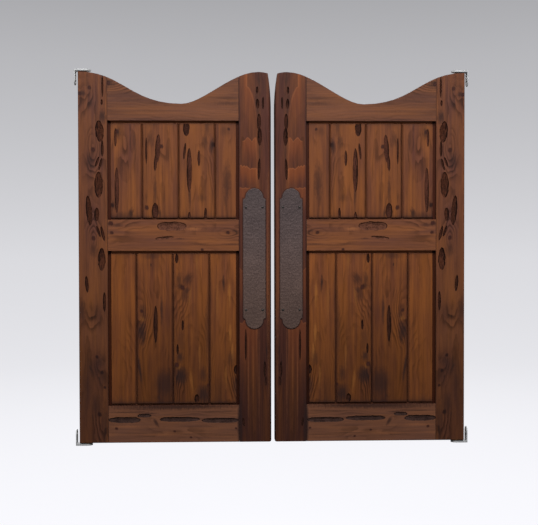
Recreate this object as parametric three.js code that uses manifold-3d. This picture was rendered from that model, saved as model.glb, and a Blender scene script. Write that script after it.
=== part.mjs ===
// A pair of cafe swinging doors: two framed and panelled leaves that swing both ways.
// Millimetres, +Z up. X runs along the doorway, the front faces -Y.
// The origin lies under the gap between the leaves, at mid-thickness, level with the lowest metal.
import * as THREE from "three";
import { mergeVertices } from "three/addons/utils/BufferGeometryUtils.js";
import loadManifold from "manifold-3d";

// Leaf
const LEAF_WIDTH = 552.5;
const LEAF_HEIGHT = 1067;
const LEAF_THICKNESS = 35;
const MEETING_GAP = 9.5;
const HINGE_STILE_WIDTH = 83;
const MEETING_STILE_WIDTH = 92;
const TOP_RAIL_HEIGHT = 140;
const MIDDLE_RAIL_HEIGHT = 90;
const BOTTOM_RAIL_HEIGHT = 107;
const LOWER_PANEL_HEIGHT = 446;

// Sawn top edge: an S-curve falls from the hinge corner to the valley, another climbs to the crest
const SCOOP_DEPTH = 91.5;
const VALLEY_FROM_HINGE_EDGE = 295;
const EASE_AT_HINGE_CORNER = 128;
const EASE_INTO_VALLEY = 147;
const EASE_OUT_OF_VALLEY = 61;
const EASE_AT_CREST = 77;
const CREST_FROM_MEETING_EDGE = 37;
const CREST_FALL = 4;

// Meeting edge
const MEETING_EDGE_RADIUS = 8;
const MEETING_RELIEF = 9;
const MEETING_RELIEF_LENGTH = 115;
const FOOT_CORNER_RADIUS = 6;

// Frame joints
const JOINT_GAP = 0.3;
const TENON_THICKNESS = 9;
const TENON_LENGTH = 40;
const TENON_TO_TUBE = 10;
const TENON_INSET = 15;
const TOP_TENON_HEIGHT = 55;
const GROOVE_DEPTH = 12;

// Panels of tongued and grooved boards
const PANEL_THICKNESS = 21;
const PANEL_TONGUE = 10;
const SIDE_CHANNEL = 9;
const HEAD_CHANNEL = 8;
const FOOT_CHANNEL = 5.5;
const BOARDS_IN_PANEL = 4;
const BOARD_PITCH = 105;
const UPPER_FIRST_JOINT = 98;
const LOWER_FIRST_JOINT = 80.5;
const BOARD_GAP = 0.6;
const BOARD_TONGUE = 7;
const BOARD_TONGUE_THICKNESS = 6;
const BOARD_GROOVE_DEPTH = 8;
const V_GROOVE = 4.2;

// Push plate and its screws
const PLATE_WIDTH = 65;
const PLATE_HEIGHT = 405;
const PLATE_THICKNESS = 2.5;
const PLATE_FROM_MEETING_EDGE = 48.5;
const PLATE_MIDDLE_HEIGHT = 530;
const LOBE_RADIUS = 25.5;
const LOBE_HEIGHT = 29;
const SHOULDER_RADIUS = 5;
const SCREW_ACROSS = 48;
const SCREW_SPACING = 296;
const SCREW_TIP_FROM_MIDDLE = 2.5;
const SCREW_SHANK_RADIUS = 2;
const SCREW_HEAD_RADIUS = 3.6;
const SCREW_DOME = 1.1;
const SCREW_SLOT = 0.9;
const SCREW_CLEARANCE = 0.3;
const SEAT_GAP = 0.3;

// Jamb brackets
const PIVOT_SETBACK = 22;
const SWING_CLEARANCE = 2;
const TOP_CLEARANCE = 3;
const BRACKET_DEPTH = 28;
const BRACKET_HEIGHT = 46;
const BRACKET_PLATE = 3;
const BRACKET_ARM = 5;
const BRACKET_HOLE_RADIUS = 2.6;
const BRACKET_HOLE_SPACING = 16;
const BRACKET_HOLE_FROM_END = 12;
const OVERCUT = 1;

// Top pivot
const PIN_RADIUS = 5;
const PIN_REACH = 26;
const RUNNING_CLEARANCE = 0.15;
const BUSH_WALL = 2.4;
const BUSH_FLANGE_WIDTH = 2.5;
const BUSH_FLANGE = 2.5;
const BUSH_LENGTH = 32;
const BUSH_SINK = 5;

// Bottom pivot with its return spring
const WASHER_WIDTH = 5.7;
const WASHER_THICKNESS = 2.6;
const SPINDLE_NECK_STEP = 1;
const SPINDLE_TIP_STEP = 2;
const SPINDLE_END_PLAY = 1;
const SPRING_SPACE = 4;
const TUBE_WALL = 2;
const TUBE_LENGTH = 104;
const TUBE_CAP = 4;
const TUBE_FLANGE = 3;
const FLANGE_LENGTH = 60;
const FLANGE_DEPTH = 25;
const FLANGE_FROM_EDGE = 4;
const FLANGE_SCREWS_FROM_PIVOT = [22, 34];
const SPRING_WIRE_RADIUS = 1.1;
const SPRING_CURLS = 10;

// Fineness of round shapes
const OUTLINE_STEPS = 12;
const ARC_STEPS = 4;
const ROUND_SIDES = 16;
const SCREW_SIDES = 8;
const DOME_STEPS = 2;
const CURL_STEPS = 8;
const WIRE_SIDES = 5;

// Sizes that follow
const HALF_THICKNESS = LEAF_THICKNESS / 2;
const LEAF_LIFT = BRACKET_ARM + WASHER_THICKNESS + 2 * SEAT_GAP;
const OPENING_LEFT = HINGE_STILE_WIDTH;
const OPENING_RIGHT = LEAF_WIDTH - MEETING_STILE_WIDTH;
const LOWER_FOOT = BOTTOM_RAIL_HEIGHT;
const LOWER_HEAD = LOWER_FOOT + LOWER_PANEL_HEIGHT;
const UPPER_FOOT = LOWER_HEAD + MIDDLE_RAIL_HEIGHT;
const UPPER_HEAD = LEAF_HEIGHT - TOP_RAIL_HEIGHT;
const GROOVE_WIDTH = TENON_THICKNESS + 2 * JOINT_GAP;
const PLATE_MIDDLE = LEAF_WIDTH - PLATE_FROM_MEETING_EDGE;
const PLATE_SEAT = HALF_THICKNESS + SEAT_GAP;
const PLATE_FACE = PLATE_SEAT + PLATE_THICKNESS;
const PIVOT = [PIVOT_SETBACK, 0, 0];
const JAMB_GAP = Math.hypot(PIVOT_SETBACK, HALF_THICKNESS) - PIVOT_SETBACK + SWING_CLEARANCE;
const BUSH_RADIUS = runningBore(PIN_RADIUS) + BUSH_WALL;
const BUSH_FLANGE_RADIUS = BUSH_RADIUS + BUSH_FLANGE_WIDTH;
const SPINDLE_NECK_RADIUS = PIN_RADIUS - SPINDLE_NECK_STEP;
const SPINDLE_TIP_RADIUS = PIN_RADIUS - SPINDLE_TIP_STEP;
const TUBE_BORE = PIN_RADIUS + SPRING_SPACE;
const TUBE_RADIUS = TUBE_BORE + TUBE_WALL;
const HINGE_TENON_END = PIVOT_SETBACK + TUBE_RADIUS + TENON_TO_TUBE;
const MEETING_TENON_END = OPENING_RIGHT + TENON_LENGTH;

const STAINED_WOOD = { color: 0x73482d, roughness: 0.55, metalness: 0 };
const PANEL_WOOD = { color: 0x7a4c2e, roughness: 0.55, metalness: 0 };
const HAMMERED_BRONZE = { color: 0x554640, roughness: 0.5, metalness: 0.9 };
const DARK_STEEL = { color: 0x3f3a38, roughness: 0.45, metalness: 0.9 };
const PLATED_STEEL = { color: 0xb8b9ba, roughness: 0.4, metalness: 0.9 };
const BEARING_BRONZE = { color: 0x9a7442, roughness: 0.4, metalness: 0.9 };
const BRIGHT_STEEL = { color: 0x9a9a98, roughness: 0.35, metalness: 0.9 };

const wasm = await loadManifold();
wasm.setup();

// A closed geometry as a solid that can be joined and cut.
function solid(geometry) {
  const bare = geometry.clone();
  bare.deleteAttribute("normal");
  bare.deleteAttribute("uv");
  const merged = mergeVertices(bare);
  const corners = merged.index.array;
  const triangles = [];
  for (let i = 0; i < corners.length; i += 3) {
    const [a, b, c] = corners.slice(i, i + 3);
    if (a !== b && b !== c && c !== a) triangles.push(a, b, c);
  }
  return new wasm.Manifold(new wasm.Mesh({
    numProp: 3,
    vertProperties: new Float32Array(merged.attributes.position.array),
    triVerts: new Uint32Array(triangles),
  }));
}

// A solid as a geometry again.
function geometryOf(body) {
  const mesh = body.getMesh();
  const geometry = new THREE.BufferGeometry();
  geometry.setAttribute("position", new THREE.BufferAttribute(mesh.vertProperties, 3));
  geometry.setIndex(new THREE.BufferAttribute(mesh.triVerts, 1));
  geometry.computeVertexNormals();
  return geometry;
}

function block([x0, x1], [y0, y1], [z0, z1]) {
  const geometry = new THREE.BoxGeometry(x1 - x0, y1 - y0, z1 - z0);
  return solid(geometry.translate((x0 + x1) / 2, (y0 + y1) / 2, (z0 + z1) / 2));
}

function drawnOut(shape, depth, curveSegments = ARC_STEPS) {
  return new THREE.ExtrudeGeometry(shape, { depth, curveSegments, bevelEnabled: false });
}

// An outline in the X-Y plane, drawn out upwards.
function upright(shape, [z0, z1]) {
  return solid(drawnOut(shape, z1 - z0).translate(0, 0, z0));
}

// An outline in the X-Z plane, drawn out through the thickness.
function through(shape, [y0, y1], steps) {
  return solid(drawnOut(shape, y1 - y0, steps).rotateX(Math.PI / 2).translate(0, y1, 0));
}

// An outline in the Y-Z plane, drawn out along X.
function across(shape, [x0, x1]) {
  const geometry = drawnOut(shape, x1 - x0).rotateX(Math.PI / 2).rotateZ(Math.PI / 2);
  return solid(geometry.translate(x0, 0, 0));
}

function polygon(corners) {
  return new THREE.Shape(corners.map(([a, b]) => new THREE.Vector2(a, b)));
}

// A profile of [radius, height] corners, turned about the upright axis through a point.
function turned(profile, sides = ROUND_SIDES, [x, y, z] = [0, 0, 0]) {
  const points = profile.map(([radius, height]) => new THREE.Vector2(radius, height));
  const geometry = new THREE.LatheGeometry(points, sides).rotateX(Math.PI / 2);
  return solid(geometry.translate(x, y, z));
}

// A round rod, or the hole for one, from one height to another.
function rod(radius, [z0, z1], sides, centre) {
  return turned([[0, z0], [radius, z0], [radius, z1], [0, z1]], sides, centre);
}

// A round ring with a bore, from one height to another.
function ring(bore, radius, [z0, z1], sides, centre) {
  const profile = [[bore, z0], [radius, z0], [radius, z1], [bore, z1], [bore, z0]];
  return turned(profile, sides, centre);
}

// The bore in which a many-sided pin of this radius turns without touching.
function runningBore(radius) {
  return (radius + RUNNING_CLEARANCE) / Math.cos(Math.PI / ROUND_SIDES);
}

// A whole leaf seen from the front, with its hinge edge at x = 0 and its foot at z = 0.
function leafOutline() {
  const valley = LEAF_HEIGHT - SCOOP_DEPTH;
  const crest = LEAF_WIDTH - CREST_FROM_MEETING_EDGE;
  const reliefTop = LEAF_WIDTH - MEETING_RELIEF;
  const reliefFoot = LEAF_HEIGHT - MEETING_RELIEF_LENGTH;
  const shape = new THREE.Shape();
  shape.moveTo(0, 0);
  shape.lineTo(LEAF_WIDTH - FOOT_CORNER_RADIUS, 0);
  shape.quadraticCurveTo(LEAF_WIDTH, 0, LEAF_WIDTH, FOOT_CORNER_RADIUS);
  shape.lineTo(LEAF_WIDTH, reliefFoot);
  shape.quadraticCurveTo(
    LEAF_WIDTH, (reliefFoot + LEAF_HEIGHT) / 2,
    reliefTop, LEAF_HEIGHT - CREST_FALL,
  );
  shape.quadraticCurveTo((crest + reliefTop) / 2, LEAF_HEIGHT, crest, LEAF_HEIGHT);
  shape.bezierCurveTo(
    crest - EASE_AT_CREST, LEAF_HEIGHT,
    VALLEY_FROM_HINGE_EDGE + EASE_OUT_OF_VALLEY, valley,
    VALLEY_FROM_HINGE_EDGE, valley,
  );
  shape.bezierCurveTo(
    VALLEY_FROM_HINGE_EDGE - EASE_INTO_VALLEY, valley,
    EASE_AT_HINGE_CORNER, LEAF_HEIGHT,
    0, LEAF_HEIGHT,
  );
  return shape;
}

// A whole leaf seen from above, with its rounded meeting edge.
function leafSection() {
  const roundFrom = LEAF_WIDTH - MEETING_EDGE_RADIUS;
  const roundSide = HALF_THICKNESS - MEETING_EDGE_RADIUS;
  const shape = new THREE.Shape();
  shape.moveTo(0, -HALF_THICKNESS);
  shape.lineTo(roundFrom, -HALF_THICKNESS);
  shape.absarc(roundFrom, -roundSide, MEETING_EDGE_RADIUS, -Math.PI / 2, 0);
  shape.absarc(roundFrom, roundSide, MEETING_EDGE_RADIUS, 0, Math.PI / 2);
  shape.lineTo(0, HALF_THICKNESS);
  return shape;
}

const wholeLeaf = through(leafOutline(), [-HALF_THICKNESS, HALF_THICKNESS], OUTLINE_STEPS)
  .intersect(upright(leafSection(), [0, LEAF_HEIGHT]));
const fullThickness = [-LEAF_THICKNESS, LEAF_THICKNESS];
const grooveThickness = [-GROOVE_WIDTH / 2, GROOVE_WIDTH / 2];
const tenonThickness = [-TENON_THICKNESS / 2, TENON_THICKNESS / 2];

// Each rail from its foot to its head, the heights of its tenons and of its panel grooves.
const RAILS = {
  bottom_rail: {
    span: [0, LOWER_FOOT],
    tenon: [TENON_INSET, LOWER_FOOT - TENON_INSET],
    grooves: [[LOWER_FOOT - GROOVE_DEPTH, LOWER_FOOT]],
  },
  middle_rail: {
    span: [LOWER_HEAD, UPPER_FOOT],
    tenon: [LOWER_HEAD + TENON_INSET, UPPER_FOOT - TENON_INSET],
    grooves: [
      [LOWER_HEAD, LOWER_HEAD + GROOVE_DEPTH],
      [UPPER_FOOT - GROOVE_DEPTH, UPPER_FOOT],
    ],
  },
  top_rail: {
    span: [UPPER_HEAD, LEAF_HEIGHT],
    tenon: [UPPER_HEAD + TENON_INSET, UPPER_HEAD + TENON_INSET + TOP_TENON_HEIGHT],
    grooves: [[UPPER_HEAD, UPPER_HEAD + GROOVE_DEPTH]],
  },
};

function rail({ span, tenon, grooves }) {
  const shoulders = [OPENING_LEFT + JOINT_GAP, OPENING_RIGHT - JOINT_GAP];
  let body = wholeLeaf.intersect(block(shoulders, fullThickness, span));
  for (const groove of grooves) {
    body = body.subtract(block(shoulders, grooveThickness, groove));
  }
  const hingeTenon = [HINGE_TENON_END, OPENING_LEFT + TENON_THICKNESS];
  const meetingTenon = [OPENING_RIGHT - TENON_THICKNESS, MEETING_TENON_END];
  return body
    .add(block(hingeTenon, tenonThickness, tenon))
    .add(block(meetingTenon, tenonThickness, tenon));
}

// Mortises and panel grooves that a stile has between its inner edge and two depths.
function stileCuts(mortiseRange, grooveRange) {
  const mortises = Object.values(RAILS).map(({ tenon: [foot, head] }) =>
    block(mortiseRange, grooveThickness, [foot - JOINT_GAP, head + JOINT_GAP]));
  const grooves = [[LOWER_FOOT, LOWER_HEAD], [UPPER_FOOT, UPPER_HEAD]].map(([foot, head]) =>
    block(grooveRange, grooveThickness, [foot - GROOVE_DEPTH, head + GROOVE_DEPTH]));
  return [...mortises, ...grooves].reduce((all, cut) => all.add(cut));
}

function hingeStile() {
  const bushSeat = LEAF_HEIGHT - BUSH_SINK;
  const edge = OPENING_LEFT;
  const flangeEnds = [
    FLANGE_FROM_EDGE - JOINT_GAP,
    FLANGE_FROM_EDGE + FLANGE_LENGTH + JOINT_GAP,
  ];
  const flangeSides = [-FLANGE_DEPTH / 2 - JOINT_GAP, FLANGE_DEPTH / 2 + JOINT_GAP];
  const counterbore = [bushSeat, LEAF_HEIGHT + OVERCUT];
  const bushBore = [bushSeat - BUSH_LENGTH - SEAT_GAP, bushSeat];
  const tubeBore = [-OVERCUT, TUBE_LENGTH + SEAT_GAP];
  return wholeLeaf
    .intersect(block([0, edge], fullThickness, [0, LEAF_HEIGHT]))
    .subtract(stileCuts([HINGE_TENON_END - JOINT_GAP, edge], [edge - GROOVE_DEPTH, edge]))
    .subtract(rod(BUSH_FLANGE_RADIUS + JOINT_GAP, counterbore, ROUND_SIDES, PIVOT))
    .subtract(rod(BUSH_RADIUS + JOINT_GAP, bushBore, ROUND_SIDES, PIVOT))
    .subtract(rod(TUBE_RADIUS + JOINT_GAP, tubeBore, ROUND_SIDES, PIVOT))
    .subtract(block(flangeEnds, flangeSides, [-OVERCUT, TUBE_FLANGE + SEAT_GAP]));
}

// Where the push plate screws go, as [x, z] on the leaf.
function screwPlaces() {
  const sides = [-SCREW_ACROSS / 2, SCREW_ACROSS / 2];
  const heights = [-SCREW_SPACING / 2, SCREW_SPACING / 2];
  return heights.flatMap((z) => sides.map((x) => [PLATE_MIDDLE + x, PLATE_MIDDLE_HEIGHT + z]));
}

// A body made about the upright axis, laid over to point to the front or the back at [x, z].
function facing(body, front, [x, z]) {
  return body.rotate([front ? 90 : -90, 0, 0]).translate([x, 0, z]);
}

function meetingStile() {
  const edge = OPENING_RIGHT;
  const bore = rod(
    SCREW_SHANK_RADIUS + SCREW_CLEARANCE,
    [SCREW_TIP_FROM_MIDDLE - SCREW_CLEARANCE, HALF_THICKNESS + OVERCUT],
    SCREW_SIDES,
  );
  let body = wholeLeaf
    .intersect(block([edge, LEAF_WIDTH], fullThickness, [0, LEAF_HEIGHT]))
    .subtract(stileCuts([edge, MEETING_TENON_END + JOINT_GAP], [edge, edge + GROOVE_DEPTH]));
  for (const place of screwPlaces()) {
    body = body.subtract(facing(bore, true, place)).subtract(facing(bore, false, place));
  }
  return body;
}

// The two faces and the joint on a board's right edge, from front to back.
function boardRightEdge(index, jointAt) {
  const half = PANEL_THICKNESS / 2;
  if (index === BOARDS_IN_PANEL - 1) {
    const field = OPENING_RIGHT - SIDE_CHANNEL;
    const tip = OPENING_RIGHT + PANEL_TONGUE;
    const tongue = TENON_THICKNESS / 2;
    return [
      [field, -half], [field, -tongue], [tip, -tongue],
      [tip, tongue], [field, tongue], [field, half],
    ];
  }
  const edge = jointAt(index) - BOARD_GAP / 2;
  const tip = edge + BOARD_TONGUE;
  const tongue = BOARD_TONGUE_THICKNESS / 2;
  return [
    [edge - V_GROOVE, -half], [edge, V_GROOVE - half], [edge, -tongue], [tip, -tongue],
    [tip, tongue], [edge, tongue], [edge, half - V_GROOVE], [edge - V_GROOVE, half],
  ];
}

// The same on a board's left edge, from back to front.
function boardLeftEdge(index, jointAt) {
  const half = PANEL_THICKNESS / 2;
  if (index === 0) {
    const field = OPENING_LEFT + SIDE_CHANNEL;
    const tip = OPENING_LEFT - PANEL_TONGUE;
    const tongue = TENON_THICKNESS / 2;
    return [
      [field, half], [field, tongue], [tip, tongue],
      [tip, -tongue], [field, -tongue], [field, -half],
    ];
  }
  const edge = jointAt(index - 1) + BOARD_GAP / 2;
  const floor = edge + BOARD_GROOVE_DEPTH;
  const slot = BOARD_TONGUE_THICKNESS / 2 + JOINT_GAP;
  return [
    [edge + V_GROOVE, half], [edge, half - V_GROOVE], [edge, slot], [floor, slot],
    [floor, -slot], [edge, -slot], [edge, V_GROOVE - half], [edge + V_GROOVE, -half],
  ];
}

// One board of a panel, counted from the hinge side, with thinner ends that enter the rails.
function panelBoard(index, firstJoint, foot, head) {
  const jointAt = (number) => OPENING_LEFT + firstJoint + number * BOARD_PITCH;
  const section = polygon([...boardRightEdge(index, jointAt), ...boardLeftEdge(index, jointAt)]);
  const half = PANEL_THICKNESS / 2;
  const tongue = TENON_THICKNESS / 2;
  const field = [foot + FOOT_CHANNEL, head - HEAD_CHANNEL];
  const reach = [foot - PANEL_TONGUE, head + PANEL_TONGUE];
  const ends = polygon([
    [-tongue, reach[0]], [tongue, reach[0]], [tongue, field[0]], [half, field[0]],
    [half, field[1]], [tongue, field[1]], [tongue, reach[1]], [-tongue, reach[1]],
    [-tongue, field[1]], [-half, field[1]], [-half, field[0]], [-tongue, field[0]],
  ]);
  return upright(section, reach).intersect(across(ends, [0, LEAF_WIDTH]));
}

// The push plate about its own middle: straight sides, rounded shoulders and round lobes.
function plateOutline() {
  const side = PLATE_WIDTH / 2;
  const shoulder = PLATE_HEIGHT / 2 - LOBE_HEIGHT;
  const lobe = PLATE_HEIGHT / 2 - LOBE_RADIUS;
  const cornerX = side - SHOULDER_RADIUS;
  const cornerZ = shoulder - SHOULDER_RADIUS;
  const quarter = Math.PI / 2;
  const shape = new THREE.Shape();
  shape.absarc(cornerX, cornerZ, SHOULDER_RADIUS, 0, quarter);
  shape.lineTo(LOBE_RADIUS, shoulder);
  shape.absarc(0, lobe, LOBE_RADIUS, 0, 2 * quarter);
  shape.lineTo(-LOBE_RADIUS, shoulder);
  shape.absarc(-cornerX, cornerZ, SHOULDER_RADIUS, quarter, 2 * quarter);
  shape.absarc(-cornerX, -cornerZ, SHOULDER_RADIUS, 2 * quarter, 3 * quarter);
  shape.lineTo(-LOBE_RADIUS, -shoulder);
  shape.absarc(0, -lobe, LOBE_RADIUS, 2 * quarter, 4 * quarter);
  shape.lineTo(LOBE_RADIUS, -shoulder);
  shape.absarc(cornerX, -cornerZ, SHOULDER_RADIUS, 3 * quarter, 4 * quarter);
  return shape;
}

function pushPlate(front) {
  const thickness = front ? [-PLATE_FACE, -PLATE_SEAT] : [PLATE_SEAT, PLATE_FACE];
  const neck = SCREW_SHANK_RADIUS + SCREW_CLEARANCE;
  const mouth = SCREW_HEAD_RADIUS + SCREW_CLEARANCE;
  const countersink = turned([
    [0, HALF_THICKNESS], [neck, HALF_THICKNESS], [neck, PLATE_SEAT], [mouth, PLATE_FACE],
    [mouth, PLATE_FACE + OVERCUT], [0, PLATE_FACE + OVERCUT],
  ], SCREW_SIDES);
  let body = through(plateOutline(), thickness);
  body = body.translate([PLATE_MIDDLE, 0, PLATE_MIDDLE_HEIGHT]);
  for (const place of screwPlaces()) {
    body = body.subtract(facing(countersink, front, place));
  }
  return body;
}

// A slotted wood screw with an oval head, seated in the push plate.
function plateScrew(front, place) {
  const tip = SCREW_TIP_FROM_MIDDLE;
  const crown = PLATE_FACE + SCREW_DOME;
  const profile = [
    [0, tip],
    [SCREW_SHANK_RADIUS, tip + 2 * SCREW_SHANK_RADIUS],
    [SCREW_SHANK_RADIUS, PLATE_SEAT],
  ];
  for (let step = 0; step < DOME_STEPS; step += 1) {
    const angle = (step / DOME_STEPS) * Math.PI / 2;
    const height = PLATE_FACE + SCREW_DOME * Math.sin(angle);
    profile.push([SCREW_HEAD_RADIUS * Math.cos(angle), height]);
  }
  profile.push([0, crown]);
  const slot = block(
    [-SCREW_HEAD_RADIUS, SCREW_HEAD_RADIUS],
    [-SCREW_SLOT / 2, SCREW_SLOT / 2],
    [PLATE_FACE, crown + OVERCUT],
  );
  return facing(turned(profile, SCREW_SIDES).subtract(slot), front, place);
}

// A countersunk screw hole through a plate that lies from z = 0 upwards, open at its top.
function countersunkHole(thickness) {
  const mouth = BRACKET_HOLE_RADIUS + thickness;
  return turned([
    [0, -OVERCUT], [BRACKET_HOLE_RADIUS, -OVERCUT], [BRACKET_HOLE_RADIUS, 0],
    [mouth, thickness], [mouth, thickness + OVERCUT], [0, thickness + OVERCUT],
  ], SCREW_SIDES);
}

// A jamb bracket about the pivot axis: its arm lies on z = 0 and its plate hangs down.
function bracketBody() {
  const half = BRACKET_DEPTH / 2;
  const jambFace = -PIVOT_SETBACK - JAMB_GAP - BRACKET_PLATE;
  const arm = new THREE.Shape();
  arm.moveTo(jambFace, -half);
  arm.lineTo(0, -half);
  arm.absarc(0, 0, half, -Math.PI / 2, Math.PI / 2);
  arm.lineTo(jambFace, half);

  const foot = BRACKET_ARM - BRACKET_HEIGHT;
  const plate = new THREE.Shape();
  plate.moveTo(half, BRACKET_ARM);
  plate.lineTo(-half, BRACKET_ARM);
  plate.lineTo(-half, foot + half);
  plate.absarc(0, foot + half, half, Math.PI, 2 * Math.PI);

  const hole = countersunkHole(BRACKET_PLATE).rotate([0, 90, 0]);
  let body = upright(arm, [0, BRACKET_ARM]);
  body = body.add(across(plate, [jambFace, jambFace + BRACKET_PLATE]));
  for (const step of [0, BRACKET_HOLE_SPACING]) {
    body = body.subtract(hole.translate([jambFace, 0, foot + BRACKET_HOLE_FROM_END + step]));
  }
  return body;
}

function topJambBracket() {
  const pin = rod(PIN_RADIUS, [-TOP_CLEARANCE - PIN_REACH, BRACKET_ARM / 2]);
  return bracketBody().add(pin).translate([PIVOT_SETBACK, 0, LEAF_HEIGHT + TOP_CLEARANCE]);
}

function bottomJambBracket() {
  const neck = rod(SPINDLE_NECK_RADIUS + JOINT_GAP, [-BRACKET_ARM - OVERCUT, OVERCUT]);
  return bracketBody()
    .rotate([180, 0, 0])
    .subtract(neck)
    .translate([PIVOT_SETBACK, 0, BRACKET_ARM - LEAF_LIFT]);
}

function topPivotBush() {
  const seat = LEAF_HEIGHT - BUSH_SINK + SEAT_GAP;
  const head = seat + BUSH_FLANGE;
  const foot = seat - BUSH_LENGTH;
  const bore = runningBore(PIN_RADIUS);
  return turned([
    [bore, foot], [BUSH_RADIUS, foot], [BUSH_RADIUS, seat], [BUSH_FLANGE_RADIUS, seat],
    [BUSH_FLANGE_RADIUS, head], [bore, head], [bore, foot],
  ], ROUND_SIDES, PIVOT);
}

function thrustWasher() {
  const bore = PIN_RADIUS + JOINT_GAP;
  const heights = [-SEAT_GAP - WASHER_THICKNESS, -SEAT_GAP];
  return ring(bore, bore + WASHER_WIDTH, heights, ROUND_SIDES, PIVOT);
}

// The fixed spindle: a neck in the bracket arm, the bearing length and a thinner guided tip.
function pivotSpindle() {
  const seat = BRACKET_ARM - LEAF_LIFT + SEAT_GAP;
  const shoulder = TUBE_LENGTH - TUBE_CAP - SPINDLE_END_PLAY;
  const tip = TUBE_LENGTH - SEAT_GAP;
  return turned([
    [0, -LEAF_LIFT], [SPINDLE_NECK_RADIUS, -LEAF_LIFT], [SPINDLE_NECK_RADIUS, seat],
    [PIN_RADIUS, seat], [PIN_RADIUS, shoulder], [SPINDLE_TIP_RADIUS, shoulder],
    [SPINDLE_TIP_RADIUS, tip], [0, tip],
  ], ROUND_SIDES, PIVOT);
}

// The tube in the foot of the hinge stile: a flange that bears on the spindle, a wall and a cap.
function springTube() {
  const lowerBore = runningBore(PIN_RADIUS);
  const upperBore = runningBore(SPINDLE_TIP_RADIUS);
  const capFoot = TUBE_LENGTH - TUBE_CAP;
  const barrel = turned([
    [lowerBore, 0], [TUBE_RADIUS, 0], [TUBE_RADIUS, TUBE_LENGTH], [upperBore, TUBE_LENGTH],
    [upperBore, capFoot], [TUBE_BORE, capFoot], [TUBE_BORE, TUBE_FLANGE], [lowerBore, TUBE_FLANGE],
    [lowerBore, 0],
  ], ROUND_SIDES, PIVOT);
  let flange = block(
    [FLANGE_FROM_EDGE, FLANGE_FROM_EDGE + FLANGE_LENGTH],
    [-FLANGE_DEPTH / 2, FLANGE_DEPTH / 2],
    [0, TUBE_FLANGE],
  );
  flange = flange.subtract(rod(lowerBore, [-OVERCUT, TUBE_FLANGE + OVERCUT], ROUND_SIDES, PIVOT));
  const hole = countersunkHole(TUBE_FLANGE).rotate([180, 0, 0]).translate([0, 0, TUBE_FLANGE]);
  for (const step of FLANGE_SCREWS_FROM_PIVOT) {
    flange = flange.subtract(hole.translate([PIVOT_SETBACK + step, 0, 0]));
  }
  return barrel.add(flange);
}

// Points along the return spring: a helix midway between the spindle and the tube's wall.
function springPath() {
  const radius = (PIN_RADIUS + TUBE_BORE) / 2;
  const foot = TUBE_FLANGE + SEAT_GAP + SPRING_WIRE_RADIUS;
  const head = TUBE_LENGTH - TUBE_CAP - SEAT_GAP - SPRING_WIRE_RADIUS;
  const count = SPRING_CURLS * CURL_STEPS;
  return Array.from({ length: count + 1 }, (_, i) => {
    const angle = (i / CURL_STEPS) * 2 * Math.PI;
    const height = foot + (head - foot) * (i / count);
    return new THREE.Vector3(radius * Math.cos(angle), radius * Math.sin(angle), height);
  });
}

// The least gap between one curl of wire and the next, measured on the path's points.
function springGap(path) {
  let least = Infinity;
  for (let i = 0; i < path.length; i += 1) {
    for (let k = i + CURL_STEPS / 2; k < path.length; k += 1) {
      least = Math.min(least, path[i].distanceTo(path[k]));
    }
  }
  return least - 2 * SPRING_WIRE_RADIUS;
}

// One unbroken wire: a ring of points at each step of the path, and a flat cap on each end.
function returnSpring() {
  const path = springPath();
  console.log(`return spring: least gap to itself ${springGap(path).toFixed(2)} mm`);
  const positions = [];
  const triangles = [];
  const upwards = new THREE.Vector3(0, 0, 1);
  path.forEach((point) => {
    const outwards = new THREE.Vector3(point.x, point.y, 0).normalize();
    for (let k = 0; k < WIRE_SIDES; k += 1) {
      const angle = (k / WIRE_SIDES) * 2 * Math.PI;
      const corner = point.clone()
        .addScaledVector(outwards, SPRING_WIRE_RADIUS * Math.cos(angle))
        .addScaledVector(upwards, SPRING_WIRE_RADIUS * Math.sin(angle));
      positions.push(corner.x, corner.y, corner.z);
    }
  });
  const last = (path.length - 1) * WIRE_SIDES;
  for (let base = 0; base < last; base += WIRE_SIDES) {
    for (let k = 0; k < WIRE_SIDES; k += 1) {
      const next = (k + 1) % WIRE_SIDES;
      triangles.push(base + k, base + WIRE_SIDES + k, base + next);
      triangles.push(base + next, base + WIRE_SIDES + k, base + WIRE_SIDES + next);
    }
  }
  for (let k = 1; k < WIRE_SIDES - 1; k += 1) {
    triangles.push(0, k, k + 1);
    triangles.push(last, last + k + 1, last + k);
  }
  const geometry = new THREE.BufferGeometry();
  geometry.setAttribute("position", new THREE.Float32BufferAttribute(positions, 3));
  geometry.setIndex(triangles);
  return solid(geometry.translate(...PIVOT));
}

// A named sub-part with its own material.
function part(name, body, finish) {
  const mesh = new THREE.Mesh(geometryOf(body), new THREE.MeshStandardMaterial(finish));
  mesh.name = name;
  return mesh;
}

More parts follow.
